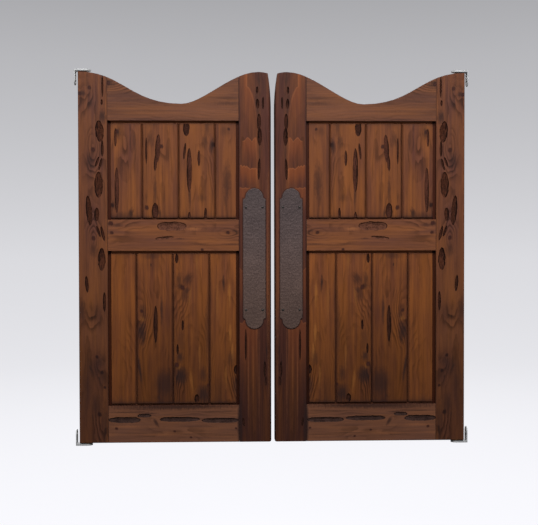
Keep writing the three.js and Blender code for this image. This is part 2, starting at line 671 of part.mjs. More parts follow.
// The swinging leaf with everything that rides on it.
function leaf(side) {
  const group = new THREE.Group();
  group.add(part(`${side}_hinge_stile`, hingeStile(), STAINED_WOOD));
  group.add(part(`${side}_meeting_stile`, meetingStile(), STAINED_WOOD));
  for (const [name, sizes] of Object.entries(RAILS)) {
    group.add(part(`${side}_${name}`, rail(sizes), STAINED_WOOD));
  }
  for (let i = 0; i < BOARDS_IN_PANEL; i += 1) {
    const upper = panelBoard(i, UPPER_FIRST_JOINT, UPPER_FOOT, UPPER_HEAD);
    const lower = panelBoard(i, LOWER_FIRST_JOINT, LOWER_FOOT, LOWER_HEAD);
    group.add(part(`${side}_upper_board_${i + 1}`, upper, PANEL_WOOD));
    group.add(part(`${side}_lower_board_${i + 1}`, lower, PANEL_WOOD));
  }
  for (const face of ["front", "back"]) {
    const front = face === "front";
    group.add(part(`${side}_${face}_push_plate`, pushPlate(front), HAMMERED_BRONZE));
    screwPlaces().forEach((place, i) => {
      const name = `${side}_${face}_plate_screw_${i + 1}`;
      group.add(part(name, plateScrew(front, place), DARK_STEEL));
    });
  }
  group.add(part(`${side}_top_pivot_bush`, topPivotBush(), BEARING_BRONZE));
  group.add(part(`${side}_spring_tube`, springTube(), BRIGHT_STEEL));
  group.add(part(`${side}_return_spring`, returnSpring(), BRIGHT_STEEL));
  return group;
}

// The fixed metal that carries a leaf.
function jambHardware(side) {
  const group = new THREE.Group();
  group.add(part(`${side}_top_jamb_bracket`, topJambBracket(), PLATED_STEEL));
  group.add(part(`${side}_bottom_jamb_bracket`, bottomJambBracket(), PLATED_STEEL));
  group.add(part(`${side}_pivot_spindle`, pivotSpindle(), BRIGHT_STEEL));
  group.add(part(`${side}_thrust_washer`, thrustWasher(), BEARING_BRONZE));
  return group;
}

const doors = new THREE.Group();
for (const [side, mirror] of [["left", 1], ["right", -1]]) {
  const half = new THREE.Group();
  half.add(leaf(side), jambHardware(side));
  half.scale.x = mirror;
  half.position.set(-mirror * (MEETING_GAP / 2 + LEAF_WIDTH), 0, LEAF_LIFT);
  doors.add(half);
}

export default doors;
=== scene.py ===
"""Cafe swinging doors: the finish of every piece, in metres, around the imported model."""
import math
import random
from collections import namedtuple
from functools import partialmethod
from itertools import starmap

import bmesh
import bpy
from mathutils import Matrix, Vector, geometry, kdtree, noise


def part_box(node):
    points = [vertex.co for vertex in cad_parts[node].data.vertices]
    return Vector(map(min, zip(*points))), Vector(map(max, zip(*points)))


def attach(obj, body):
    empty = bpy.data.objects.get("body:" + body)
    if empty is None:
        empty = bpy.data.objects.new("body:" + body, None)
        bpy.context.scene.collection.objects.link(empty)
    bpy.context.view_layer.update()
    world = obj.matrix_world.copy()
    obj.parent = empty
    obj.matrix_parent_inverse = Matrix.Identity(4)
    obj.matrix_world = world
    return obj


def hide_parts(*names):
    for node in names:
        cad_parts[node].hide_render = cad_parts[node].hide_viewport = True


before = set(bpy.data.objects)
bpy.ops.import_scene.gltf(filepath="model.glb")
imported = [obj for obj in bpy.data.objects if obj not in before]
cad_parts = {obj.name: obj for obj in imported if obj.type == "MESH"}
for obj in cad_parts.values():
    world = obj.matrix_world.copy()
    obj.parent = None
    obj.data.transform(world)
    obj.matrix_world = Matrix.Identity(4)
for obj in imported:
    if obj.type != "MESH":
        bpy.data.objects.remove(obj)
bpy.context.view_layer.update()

MM = 0.001
SIDES = ("left", "right")
FACES = ("front", "back")

# Places on the left leaf, from the frame. The right leaf mirrors the left one.
STILE_LOW, STILE_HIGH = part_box("left_hinge_stile")
PLATE_LOW, PLATE_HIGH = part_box("left_front_push_plate")
PLATE_MIDDLE = (PLATE_LOW + PLATE_HIGH) / 2
HINGE_EDGE = STILE_LOW.x
LEAF_FOOT = STILE_LOW.z
HALF_LEAF = STILE_HIGH.y
HALF_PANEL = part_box("left_upper_board_1")[1].y
OPENING = (STILE_HIGH.x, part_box("left_meeting_stile")[0].x)
RAIL_EDGES = [
    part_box("left_bottom_rail")[1].z,
    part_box("left_middle_rail")[0].z,
    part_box("left_middle_rail")[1].z,
    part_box("left_top_rail")[0].z,
]

# Outline of the push plates, in millimetres.
LOBE_RADIUS = 25.5
LOBE_HEIGHT = 29
SHOULDER_RADIUS = 5

Pit = namedtuple("Pit", "across up width length depth tilt", defaults=(0,))
Knot = namedtuple("Knot", "across up radius swirl core", defaults=("brown",))
Stain = namedtuple("Stain", "across up width length strength tilt", defaults=(0,))
Board = namedtuple("Board", "grain pith lean warmth value fade dull pits knots stains",
                   defaults=((), (), ()))

# Each board's grain direction, the place and slant of the tree's middle under it, how warm and
# how light its stain is, how much darker it gets toward the foot, how dull it is, and its natural
# marks, in millimetres from the leaf's hinge edge and foot. A pit's or stain's length runs along
# the grain, and a stain of negative strength is pale. A knot's core is brown, dark or missing
# where only the rings about it show.
BOARDS = {
    "hinge_stile": Board("up", (40, 62), 0.02, 0.5, 0.94, 0.36, 0.2, pits=(
        (70, 1025, 6, 62, 3), (68, 979, 6, 17, 3), (61, 896, 24, 62, 6, -5), (69, 847, 8, 46, 3.5),
        (54, 809, 7, 30, 3.5, 19), (63, 802, 7, 36, 3, 14), (58, 743, 24, 75, 6), (30, 669, 17, 86, 5.5, -5),
        (52, 658, 14, 39, 5), (57, 609, 7, 34, 3, -19), (69, 603, 9, 43, 4, -13), (66, 529, 21, 66, 5),
        (23, 458, 10, 48, 4, -5), (73, 407, 9, 56, 4),
    ), knots=(
        (33, 1020, 7, 15), (5, 1003, 7, 8), (43, 843, 8, 26), (43, 589, 8, -28), (36, 392, 8, 15, ""),
        (51, 248, 6, 10, "dark"), (65, 203, 6, 8, "dark"), (73, 160, 5, 4, "dark"), (58, 82, 8, 12, "dark"),
    ), stains=(
        (70, 938, 26, 40, 0.87), (33, 811, 30, 50, 0.65), (43, 556, 26, 44, 0.58), (56, 655, 40, 60, 0.2),
        (50, 110, 40, 70, 0.51), (72, 60, 24, 130, 0.51), (9, 380, 24, 74, 0.7), (22, 165, 40, 130, 0.42),
        (66, 190, 26, 60, 0.4), (42, 372, 70, 60, 0.36), (33, 214, 9, 42, 0.8, -18), (14, 1004, 22, 18, 0.8),
        (26, 1036, 6, 70, 0.48), (36, 978, 24, 34, 0.42), (40, 214, 50, 70, 0.5), (60, 232, 30, 40, 0.6),
        (15, 140, 24, 160, 0.4), (45, 305, 84, 76, -0.12), (58, 186, 7, 16, 0.7), (38, 76, 7, 22, 0.45),
    )),
    "meeting_stile": Board("up", (470, 80), 0.01, 0.16, 0.75, 0.39, 0.02, pits=(
        (513, 1015, 7, 21, 4), (514, 976, 10, 29, 5, -3), (530, 978, 6, 36, 2.5), (518, 924, 12, 47, 4),
        (520, 881, 13, 52, 6), (518, 788, 8, 62, 4, 2), (479, 281, 6, 92, 4), (472, 57, 6, 26, 3, -8),
        (534, 210, 8, 46, 3), (537, 176, 5, 28, 2.5),
    ), stains=(
        (518, 1039, 12, 70, 0.65), (516, 987, 26, 90, 0.43), (520, 835, 9, 90, 0.6),
        (516, 951, 8, 150, 0.55), (539, 262, 6, 50, 0.87), (544, 500, 12, 520, -0.26),
        (506, 60, 90, 170, 0.22), (533, 212, 6, 90, 0.8), (544, 715, 12, 170, -0.2), (521, 1000, 6, 34, 0.6),
        (464, 50, 11, 170, 1.0), (486, 190, 4, 330, -0.22), (500, 230, 3, 260, -0.2),
        (468, 200, 14, 120, 0.35), (545, 190, 7, 190, -0.26), (517, 180, 4, 330, -0.2),
        (493, 180, 5, 330, 0.28), (509, 200, 6, 330, 0.26), (525, 150, 5, 280, 0.2),
        (536, 1025, 32, 90, 0.24),
    )),
    "top_rail": Board("across", (1000, 80), 0.01, 0.4, 1.0, 0, 0.35, knots=(
        (86, 1033, 9, 26),
    ), stains=(
        (93, 1032, 26, 34, 0.58), (150, 985, 10, 90, 0.36, 8), (140, 985, 90, 160, 0.1),
        (430, 977, 12, 80, 0.43), (260, 955, 6, 200, 0.26), (340, 958, 60, 260, -0.2),
    )),
    "middle_rail": Board("across", (600, 60), 0.01, 0.5, 1.1, 0, 0.25, pits=(
        (267, 624, 25, 84, 5), (246, 590, 9, 52, 4, -5),
    ), knots=(
        (428, 605, 6, 18), (93, 632, 9, 9), (95, 605, 6, 6), (354, 556, 5, 4),
    ), stains=(
        (450, 607, 20, 26, 0.51), (328, 616, 11, 46, -0.8), (114, 627, 16, 26, 0.51),
        (290, 588, 5, 26, 0.58), (340, 574, 8, 60, 0.43, -8), (438, 572, 5, 60, 0.51),
    )),
    "bottom_rail": Board("across", (40, 70), 0.01, 0.26, 1.12, 0, 0.5, pits=(
        (129, 66, 17, 92, 4), (288, 67, 14, 116, 4), (405, 63, 14, 108, 4), (186, 78, 10, 40, 3),
    ), knots=(
        (106, 41, 5, 6), (273, 32, 4, 4), (450, 39, 4, 5), (320, 14, 4, 4),
    ), stains=(
        (220, 57, 34, 11, 0.87, 28), (197, 84, 5, 56, 0.8), (150, 88, 6, 130, 0.51), (400, 88, 5, 110, 0.51),
        (430, 20, 6, 90, 0.43), (272, 103, 17, 390, 0.95), (160, 26, 3, 90, 0.45), (330, 24, 3, 120, 0.4),
        (215, 42, 3, 70, 0.35), (140, 47, 9, 80, -0.3), (215, 22, 8, 90, -0.25), (459, 52, 150, 11, 1.0),
    )),
    "upper_board_1": Board("up", (132, 50), 0.03, 0.6, 1.0, 0, 0.12, pits=(
        (109, 728, 13, 130, 3.5), (106, 879, 7, 52, 2),
    ), knots=(
        (110, 896, 7, 6), (96, 684, 8, 8, "dark"), (133, 862, 6, 11, ""),
    ), stains=(
        (112, 893, 20, 34, 0.8), (149, 659, 18, 36, 0.95, 12), (102, 684, 22, 34, 0.58),
        (160, 862, 14, 60, 0.43), (120, 655, 50, 24, 0.43),
    )),
    "upper_board_2": Board("up", (250, 60), 0.02, 0.66, 1.0, 0, 0.1, pits=(
        (194, 841, 6, 76, 2.5), (227, 848, 15, 80, 3, 3), (220, 806, 9, 46, 2.5, 3), (219, 667, 20, 48, 4),
    ), knots=(
        (238, 853, 7, 4), (195, 677, 8, 5),
    ), stains=(
        (205, 875, 26, 50, 0.51), (219, 725, 10, 110, 0.65), (233, 659, 8, 40, 0.72),
        (194, 706, 7, 40, 0.43), (240, 775, 6, 90, 0.36),
    )),
    "upper_board_3": Board("up", (350, 50), 0.02, 0.7, 0.98, 0, 0.1, pits=(
        (309, 905, 19, 44, 4.5), (317, 785, 15, 128, 4), (304, 840, 7, 48, 2, 6), (345, 820, 8, 46, 2),
        (317, 653, 8, 24, 3), (364, 660, 8, 34, 5),
    ), knots=(
        (388, 858, 8, 4, "dark"),
    ), stains=(
        (383, 855, 16, 46, 0.95, 8), (362, 868, 18, 40, 0.58), (370, 905, 16, 50, 0.51),
        (318, 712, 9, 60, 0.72), (352, 706, 30, 26, 0.43),
    )),
    "upper_board_4": Board("up", (420, 90), 0.01, 0.64, 0.97, 0, 0.1, knots=(
        (431, 903, 5, 2),
    ), stains=(
        (425, 752, 26, 110, 0.65), (420, 702, 12, 50, 0.51), (422, 897, 36, 30, 0.36),
    )),
    "lower_board_1": Board("up", (120, 90), 0.005, 0.88, 0.97, 0.27, 0, stains=(
        (160, 480, 14, 120, 0.22), (130, 112, 110, 36, 0.3), (104, 440, 7, 170, -0.12),
    )),
    "lower_board_2": Board("up", (216, 60), 0.02, 0.78, 1.01, 0.47, 0, pits=(
        (219, 341, 12, 108, 3.5),
    ), knots=(
        (181, 377, 10, 15, ""), (179, 379, 6, 2),
    ), stains=(
        (236, 380, 9, 84, 0.8), (180, 318, 24, 72, 0.95), (176, 320, 20, 60, 1.0),
        (172, 214, 11, 90, 0.95, -8), (246, 168, 70, 96, 0.82), (238, 146, 60, 110, 0.4),
        (206, 538, 60, 24, 0.51), (215, 515, 70, 50, 0.22), (206, 512, 5, 14, 0.95), (228, 128, 5, 30, 0.87),
        (181, 356, 18, 16, -0.4), (181, 388, 22, 24, 0.5), (184, 368, 28, 44, 0.42),
    )),
    "lower_board_3": Board("up", (330, 44), 0.03, 0.84, 1.03, 0.46, 0, pits=(
        (280, 531, 9, 28, 4), (297, 338, 7, 30, 3), (337, 125, 14, 26, 5), (282, 269, 6, 30, 2),
    ), knots=(
        (297, 446, 9, 9), (280, 222, 9, 14), (371, 163, 6, 12),
    ), stains=(
        (312, 471, 30, 40, 0.72, 30), (287, 466, 20, 50, 0.65), (291, 192, 44, 58, 1.0),
        (287, 190, 18, 44, 1.0), (289, 246, 22, 36, 0.87), (356, 138, 46, 60, 0.95),
        (357, 195, 22, 50, 0.65), (368, 330, 16, 220, 0.51), (304, 424, 26, 40, 0.58),
        (317, 420, 8, 64, -0.42, 8), (322, 176, 9, 66, -0.4, -6), (345, 250, 8, 90, -0.32),
        (338, 520, 8, 70, -0.35), (288, 452, 20, 26, 0.75, 40), (308, 436, 20, 30, 0.75, 35),
        (284, 216, 14, 16, -0.5), (290, 290, 26, 80, 0.4),
    )),
    "lower_board_4": Board("up", (432, 30), 0.04, 0.84, 1.08, 0.4, 0, pits=(
        (453, 209, 18, 28, 5),
    ), knots=(
        (452, 211, 9, 16, "dark"),
    ), stains=(
        (415, 458, 9, 50, 0.95), (450, 160, 20, 80, 0.72), (436, 240, 26, 50, 0.51),
        (400, 140, 60, 90, 0.36), (432, 428, 8, 70, -0.75), (434, 313, 9, 60, -0.75),
        (440, 258, 8, 56, -0.7), (397, 410, 9, 120, -0.35), (421, 190, 8, 70, -0.4),
    )),
}


def from_edge(x):
    """Millimetres across the left leaf from its hinge edge."""
    return (x - HINGE_EDGE) / MM


def from_foot(z):
    """Millimetres up the leaf from its foot."""
    return (z - LEAF_FOOT) / MM


def half_of(name):
    """Half the thickness of a board."""
    return HALF_PANEL if "board" in name else HALF_LEAF


def board_kind(name):
    """A board's name without its number."""
    return name.rstrip("_1234")


def by_grain(board, first, second):
    """Two values, the other way round on a board with its grain across."""
    return (first, second) if board.grain == "up" else (second, first)


def rgb(red, green, blue):
    return (red, green, blue, 1.0)


class Wire:
    """A node's output. What is worked out from it becomes nodes of the same tree."""

    def __init__(self, tree, socket):
        self.tree = tree
        self.socket = socket

    def apply(self, operation, other=0.0, clamp=False):
        return self.tree.node("Math", {0: self, 1: other}, operation=operation, use_clamp=clamp)

    def __rsub__(self, other):
        return self.tree.node("Math", {0: other, 1: self}, operation="SUBTRACT")

    __add__ = __radd__ = partialmethod(apply, "ADD")
    __sub__ = partialmethod(apply, "SUBTRACT")
    __mul__ = __rmul__ = partialmethod(apply, "MULTIPLY")
    __truediv__ = partialmethod(apply, "DIVIDE")
    __abs__ = partialmethod(apply, "ABSOLUTE")
    least = partialmethod(apply, "MINIMUM")
    most = partialmethod(apply, "MAXIMUM")

    def step(self, low, high):
        """0 at low, 1 at high and smooth between, where low may be the larger."""
        inputs = {"Value": self, "From Min": low, "From Max": high}
        return self.tree.node("MapRange", inputs, interpolation_type="SMOOTHSTEP")

    def vector(self, operation, other=(0.0, 0.0, 0.0)):
        output = "Value" if operation == "LENGTH" else "Vector"
        return self.tree.node("VectorMath", {0: self, 1: other}, output, operation=operation)

    def noise(self, scale, detail=2, roughness=0.5):
        """Noise at a place, stretched by a scale of three numbers."""
        place = self
        if isinstance(scale, tuple):
            place = self.vector("MULTIPLY", scale)
            scale = 1.0
        inputs = {"Vector": place, "Scale": scale, "Detail": detail, "Roughness": roughness}
        return self.tree.node("TexNoise", inputs)

    def outputs(self):
        """All outputs of the same node."""
        return [Wire(self.tree, socket) for socket in self.socket.node.outputs]

    def split(self):
        return self.tree.node("SeparateXYZ", {0: self}).outputs()


class Tree:
    """The node tree of a group or material. An input of a node is a number, a tuple or a wire."""

    def __init__(self, owner, data, last):
        self.owner = owner
        self.data = data
        self.last = last

    def feed(self, node, inputs):
        for key, value in inputs.items():
            if isinstance(value, Wire):
                self.data.links.new(value.socket, node.inputs[key])
            else:
                node.inputs[key].default_value = value

    def node(self, kind, inputs, output=0, **settings):
        """One output of a new node."""
        made = self.data.nodes.new("ShaderNode" + kind)
        for name, value in settings.items():
            setattr(made, name, value)
        self.feed(made, inputs)
        return Wire(self, made.outputs[output])

    def coordinates(self, kind):
        return self.node("TexCoord", {}, kind)

    def join(self, x, y, z):
        return self.node("CombineXYZ", {0: x, 1: y, 2: z})

    def length(self, x, y):
        return self.join(x, y, 0.0).vector("LENGTH")

    def mix(self, share, a, b, blend="MIX"):
        return self.node("Mix", {0: share, 6: a, 7: b}, 2, data_type="RGBA", blend_type=blend)

    def dim(self, colour, level):
        """A colour times a level."""
        return self.mix(1.0, colour, self.join(level, level, level), "MULTIPLY")

    def bump(self, height, strength, distance):
        """A normal from a height, with its distance in millimetres."""
        return self.node("Bump", {"Height": height, "Strength": strength, "Distance": distance * MM})

    def group(self, kind, inputs):
        """All outputs of a new node of a group."""
        return self.node("Group", inputs, node_tree=GROUPS[kind]).outputs()

    def done(self, inputs):
        """The group or material, once its last node is fed."""
        self.feed(self.last, inputs)
        return self.owner


def new_group(name, inputs, outputs):
    """The tree and inputs of a new, empty node group."""
    group = bpy.data.node_groups.new(name, "ShaderNodeTree")
    for direction, sockets in (("INPUT", inputs), ("OUTPUT", outputs)):
        for socket, kind in sockets.items():
            group.interface.new_socket(socket, in_out=direction, socket_type="NodeSocket" + kind)
    tree = Tree(group, group, group.nodes.new("NodeGroupOutput"))
    entry = group.nodes.new("NodeGroupInput")
    return tree, {socket.name: Wire(tree, socket) for socket in entry.outputs}


def new_material(name):
    """The tree of a new material with one Principled shader."""
    material = bpy.data.materials.new(name)
    material.use_nodes = True
    return Tree(material, material.node_tree, material.node_tree.nodes["Principled BSDF"])


# How far a normal still points to a face where a surface counts as turned, and as a flat edge.
FACE_TURN = (0.985, 0.72)
FLAT_EDGE_TURN = (0.25, 0.05)
FLAT_EDGE_RELIEF = 0.55


def leaf_place_group():
    """Place on the left leaf in millimetres: across from the hinge edge, through and up.

    Turn says how far a surface turns away from the faces, Inward whether it faces the middle and
    Rise whether it faces up.
    """
    tree, _ = new_group("leaf_place", {}, {
        "Place": "Vector", "Turn": "Float", "Inward": "Float", "Rise": "Float"})
    x, y, z = tree.coordinates("Object").split()
    place = tree.join(-HINGE_EDGE - abs(x), y, z - LEAF_FOOT).vector("MULTIPLY", (1 / MM,) * 3)
    aside, facing, rise = tree.coordinates("Normal").split()
    facing = abs(facing)
    turn = facing.step(*FACE_TURN) - facing.step(*FLAT_EDGE_TURN) * FLAT_EDGE_RELIEF
    inward = aside * (x * -1.0).apply("SIGN")
    return tree.done({"Place": place, "Turn": turn, "Inward": inward, "Rise": rise})


MARK_NOISE = (0.22, 0, 0.07)


def mark_group():
    """An elongated mark with a ragged rim: its mask, and a smooth hump about its middle."""
    inputs = {"Place": "Vector", "Centre": "Vector", "Size": "Vector", "Tilt": "Float",
              "Rag": "Float", "Core": "Float"}
    tree, entry = new_group("mark", inputs, {"Mask": "Float", "Hump": "Float"})
    offset = entry["Place"].vector("SUBTRACT", entry["Centre"])
    turn = {"Vector": offset, "Angle": entry["Tilt"]}
    place = tree.node("VectorRotate", turn, rotation_type="Y_AXIS")
    distance = place.vector("DIVIDE", entry["Size"]).vector("LENGTH")
    rim = distance + (place.noise(MARK_NOISE, 3) - 0.5) * entry["Rag"]
    hump = (distance * distance * -1.0).apply("EXPONENT")
    return tree.done({"Mask": rim.step(1.0, entry["Core"]), "Hump": hump})


PURPLE_BROWN = rgb(0.092, 0.0300, 0.0205)
ORANGE_BROWN = rgb(0.192, 0.061, 0.0162)
DULL_BROWN = rgb(0.108, 0.0535, 0.0315)
# Noise in the wood: its sizes along and across the grain in millimetres, its detail and roughness.
GRAIN = {
    "wobble": (160, 30, 2, 0.5), "sink": (420, 400, 1, 0.5), "ripple": (75, 30, 2, 0.5),
    "fibre": (34, 0.8, 2, 0.6), "streak": (260, 9, 4, 0.65), "cloud": (190, 34, 2, 0.5),
    "clearness": (120, 22, 2, 0.5),
}
# Sway of the growth rings and their spacing, in millimetres, and what they do within one spacing.
WOBBLE = 26
SINK = 60
RIPPLE = 13
RING_SPACING = 5.2
LATE_WOOD = (0.25, 0.88)
RING_END = (1.0, 0.9)
# Strength of the stain's variations.
CLOUD_WARMTH = 1.7
STREAK_WARMTH = 1.1
FIBRE_SHADE = 0.40
STREAK_SHADE = 0.80
LEAST_SHADE = 0.2
CLEAR_RINGS = (-0.08, 0.22)
RING_CONTRAST = 0.30
KNOT_CONTRAST = 0.68
KNOT_GLOW = 0.12
KNOT_COOLING = 0.35
LATE_RELIEF = 0.35


def wood_group():
    """Stained softwood in board millimetres: growth rings about the tree's middle, fibres, stain."""
    inputs = dict.fromkeys(("Along", "Across", "Through", "Seed", "Pith", "Depth", "Lean", "Swirl",
                            "Near", "Warmth", "Value", "Dull"), "Float")
    tree, entry = new_group("stained_wood", inputs, {"Color": "Color", "Height": "Float"})

    def grain(kind):
        """Noise drawn out along the grain, about zero."""
        along, across, detail, roughness = GRAIN[kind]
        place = tree.join(entry["Across"] / across, entry["Through"] / across,
                          entry["Along"] / along + entry["Seed"])
        return place.noise(1.0, detail, roughness) - 0.5

    aside = entry["Across"] - entry["Pith"] + grain("wobble") * WOBBLE
    sink = entry["Depth"] + entry["Lean"] * entry["Along"] + grain("sink") * SINK
    radius = tree.length(aside, sink) + (entry["Swirl"] + grain("ripple") * RIPPLE)
    cycle = (radius / RING_SPACING).apply("FRACT")
    late = cycle.step(*LATE_WOOD) * cycle.step(*RING_END)
    fibre = grain("fibre")
    streak = grain("streak")
    near = entry["Near"]
    warm = entry["Warmth"] + (grain("cloud") * CLOUD_WARMTH + streak * STREAK_WARMTH)
    warm = warm.apply("SUBTRACT", near * KNOT_COOLING, clamp=True)
    colour = tree.mix(entry["Dull"], tree.mix(warm, PURPLE_BROWN, ORANGE_BROWN), DULL_BROWN)
    strength = grain("clearness").step(*CLEAR_RINGS) * RING_CONTRAST + near * KNOT_CONTRAST
    shade = 1.0 - late * strength + near * KNOT_GLOW
    shade = shade + (fibre * FIBRE_SHADE + streak * STREAK_SHADE)
    colour = tree.dim(colour, shade.most(LEAST_SHADE) * entry["Value"])
    return tree.done({"Color": colour, "Height": fibre - late * LATE_RELIEF})


# Torn, lighter patches on the meeting stile: the height of each ragged top, how far down it fades,
# how clear it is and where it starts. Then the edge that they all keep to: where it starts, how far
# it widens, and the height and length of that.
TEARS = ((1075, 190, 0.75, 474), (876, 80, 0.85, 470), (795, 58, 1.0, 462), (737, 90, 0.7, 455),
         (500, 140, 0.5, 455), (350, 220, 0.55, 455))
TEAR_EDGE = (485, 27, 1025, 80)
TEAR_NOISE = (0.055, 0, 0.006)
TEAR_RAG = 44
TEAR_SWAY = 14
TEAR_RIM = 6
TEAR_TOP = (0, 3)
TEAR_START = (-3, 5)
TEAR_LIMIT = (-2, 2)
TEAR_FULL = 0.1


def tears(place):
    """The mask of the torn patches at a place on the leaf, and of their bright upper edges."""
    across, _, up = place.split()
    ragged = place.noise(TEAR_NOISE) - 0.5
    height = up + ragged * TEAR_RAG
    found = bright = 0.0
    for top, fade, clear, start in TEARS:
        below = top - height
        edge = below.step(*TEAR_TOP) * (across - start).step(*TEAR_START)
        found = (edge * below.step(fade, fade * TEAR_FULL) * clear).most(found)
        bright = (edge * below.step(TEAR_RIM, 1) * clear).most(bright)
    first, widen, head, drop = TEAR_EDGE
    share = (head - up).apply("DIVIDE", drop, clamp=True)
    gap = first + share.apply("SQRT") * widen + ragged * TEAR_SWAY - across
    bright = (found * gap.step(TEAR_RIM, 0)).most(bright)
    kept = gap.step(*TEAR_LIMIT)
    return found * kept, bright * kept


ALL_THROUGH = 1e6
# Knots: the widths and lengths, in knot radii, of their swirl and of the ripple beside them, how
# far off that ripple lies, and the swirl that makes it full.
SWIRL_SIZES = (5.5, 17)
RIPPLE_SIZES = (6, 12)
RIPPLE_SHIFT = 5.5
FULL_SWIRL = 14.0
# The parts of a knot, each with its width and length in knot radii, its raggedness and softness.
KNOT_PARTS = {"rim": ((2.2, 2.6), 1.3, 0.3), "heart": ((1.4, 1.7), 1.2, 0.2)}
KNOT_CORES = {"brown": ("rim", "heart"), "dark": ("rim",), "": ()}
STAIN_REACH = 1.35
STAIN_RAG = 1.1
STAIN_CORE = 0.15
WIDE_STAIN = 26


def mark(board, place, across, up, sizes, scale, tilt=0, **settings):
    """The mask and hump of a mark on a board, by its width and length times a scale."""
    wide, tall = by_grain(board, *(scale * size / 2 for size in sizes))
    inputs = {"Place": place, "Centre": (across, 0, up), "Size": (wide, ALL_THROUGH, tall),
              "Tilt": math.radians(-tilt if board.grain == "up" else tilt)}
    return place.tree.group("mark", inputs | settings)


def knot_masks(board, place):
    """How far knots swirl the rings and bring them out, and the masks of their parts."""
    swirl = near = 0.0
    masks = dict.fromkeys(KNOT_PARTS, 0.0)
    for across, up, radius, bend, core in starmap(Knot, board.knots):
        hump = mark(board, place, across, up, SWIRL_SIZES, radius)[1]
        swirl = swirl + hump * abs(bend)
        shift = math.copysign(RIPPLE_SHIFT * radius, bend)
        beyond = (across, up - shift) if board.grain == "up" else (across + shift, up)
        ripple = mark(board, place, *beyond, RIPPLE_SIZES, radius)[1]
        near = (ripple * min(1.0, abs(bend) / FULL_SWIRL)).most(near)
        for part in KNOT_CORES[core]:
            sizes, rag, soft = KNOT_PARTS[part]
            found = mark(board, place, across, up, sizes, radius, Rag=rag, Core=soft)[0]
            masks[part] = found.most(masks[part])
    return swirl, near, masks


def stain_masks(board, place):
    """The masks of a board's dark and pale stains."""
    dark = pale = 0.0
    for across, up, width, length, strength, tilt in starmap(Stain, board.stains):
        rag = STAIN_RAG * min(1.0, WIDE_STAIN / width)
        found = mark(board, place, across, up, (width, length), STAIN_REACH, tilt,
                     Rag=rag, Core=STAIN_CORE)[0]
        if strength > 0:
            dark = (found * strength).most(dark)
        else:
            pale = (found * -strength).most(pale)
    return dark, pale


# Dark stain, also the colour of the painted shade by the rails and the painted shadow round the push plate.
DARK_STAIN_AND_SHADE = rgb(0.020, 0.0100, 0.0095)
# The darker stain along the edges and ends of a panel board, in millimetres, and how patchy it is.
# Its tip is a painted shadow close to the rails.
GLAZE_BESIDE = 13
GLAZE_END = 34
RAIL_SHADOW_TIP = (15, 5)
GLAZE_NOISE = 0.018
GLAZE_PATCHES = (0.25, 0.7)
GLAZE_STRENGTH = 0.40
# The sunk channel round a panel: how deep it starts, where its ends start, and its colours: dark
# stain and painted shade along it, and at its ends a brown foot and a head of painted light.
CHANNEL_DEPTHS = (4.4, 5.8)
CHANNEL_ENDS = (9.5, 8.5)
CHANNEL_STAIN_AND_SHADE = (0.036, 0.0075, 0.0036)
CHANNEL_HEAD_PAINTED_LIGHT = rgb(0.260, 0.085, 0.034)
CHANNEL_FOOT = rgb(0.120, 0.043, 0.024)
CHANNEL_FADE = 1.1
CHANNEL_SHARE = 0.9


def nearest(value, first, last):
    """How far a value is inside a range, from its nearer end."""
    return (value - first).least(last - value)


def panel_finish(tree, name, colour, place):
    """A panel board: darker stain on its edges, painted shadow by the rails, painted shade and light in its
    channels.
    """
    across, through, up = place.split()
    low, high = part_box("left_" + name)
    foot, head = map(from_foot, RAIL_EDGES[2:] if name.startswith("upper") else RAIL_EDGES[:2])
    end = nearest(up, foot, head)
    beside = nearest(across, from_edge(low.x), from_edge(high.x))
    glaze_and_shade = beside.step(GLAZE_BESIDE, 0).most(end.step(GLAZE_END, 0))
    patchy = tree.join(across, 0.0, up).noise(GLAZE_NOISE).step(*GLAZE_PATCHES)
    # Painted shadow close to the rails, at both ends of the board.
    tip = end.step(*RAIL_SHADOW_TIP) * GLAZE_STRENGTH
    glaze_and_shade = (glaze_and_shade * (patchy * GLAZE_STRENGTH)).apply("ADD", tip, clamp=True)
    colour = tree.mix(glaze_and_shade, colour, DARK_STAIN_AND_SHADE)
    # The sunk channel: dark stain with painted shade along it, painted light at its shaded head end.
    sunk = abs(through).step(*(HALF_PANEL / MM - depth for depth in CHANNEL_DEPTHS))
    middle = (foot + head) / 2
    ends = tree.mix(up.step(middle - 1, middle + 1), CHANNEL_FOOT, CHANNEL_HEAD_PAINTED_LIGHT)
    aside = nearest(across, *map(from_edge, OPENING))
    at_end = end.step(*CHANNEL_ENDS) * aside.step(*reversed(CHANNEL_ENDS))
    level = 1 - CHANNEL_FADE * BOARDS[name].fade
    channel = tree.mix(at_end, rgb(*(level * part for part in CHANNEL_STAIN_AND_SHADE)), ends)
    return tree.mix(sunk * CHANNEL_SHARE, colour, channel)


# A painted shadow round the push plate and dark lines where rails meet stiles, in millimetres.
PLATE_SHADOW_LINE = (5.0, 0.5)
JOINT_LINE = (2.6, 0.6)
JOINT_SHARES = (0.2, 0.6)


def plate_shadow(tree, across, up):
    """The painted shadow line on the meeting stile round its push plate."""
    half = (PLATE_HIGH - PLATE_LOW) / 2 / MM
    aside = abs(across - from_edge(PLATE_MIDDLE.x))
    height = abs(up - from_foot(PLATE_MIDDLE.z))
    past = (aside - half.x).most(0.0)
    over = (height - (half.z - LOBE_HEIGHT)).most(0.0)
    lobe = tree.length(aside, height - (half.z - LOBE_RADIUS)) - LOBE_RADIUS
    return tree.length(past, over).least(lobe).step(*PLATE_SHADOW_LINE)


def joint_line(across):
    """The dark line where a rail meets a stile, strongest at the meeting stile."""
    found = 0.0
    for line, share in zip(OPENING, JOINT_SHARES):
        gap = abs(across - from_edge(line))
        found = (gap.step(*JOINT_LINE) * share).most(found)
    return found


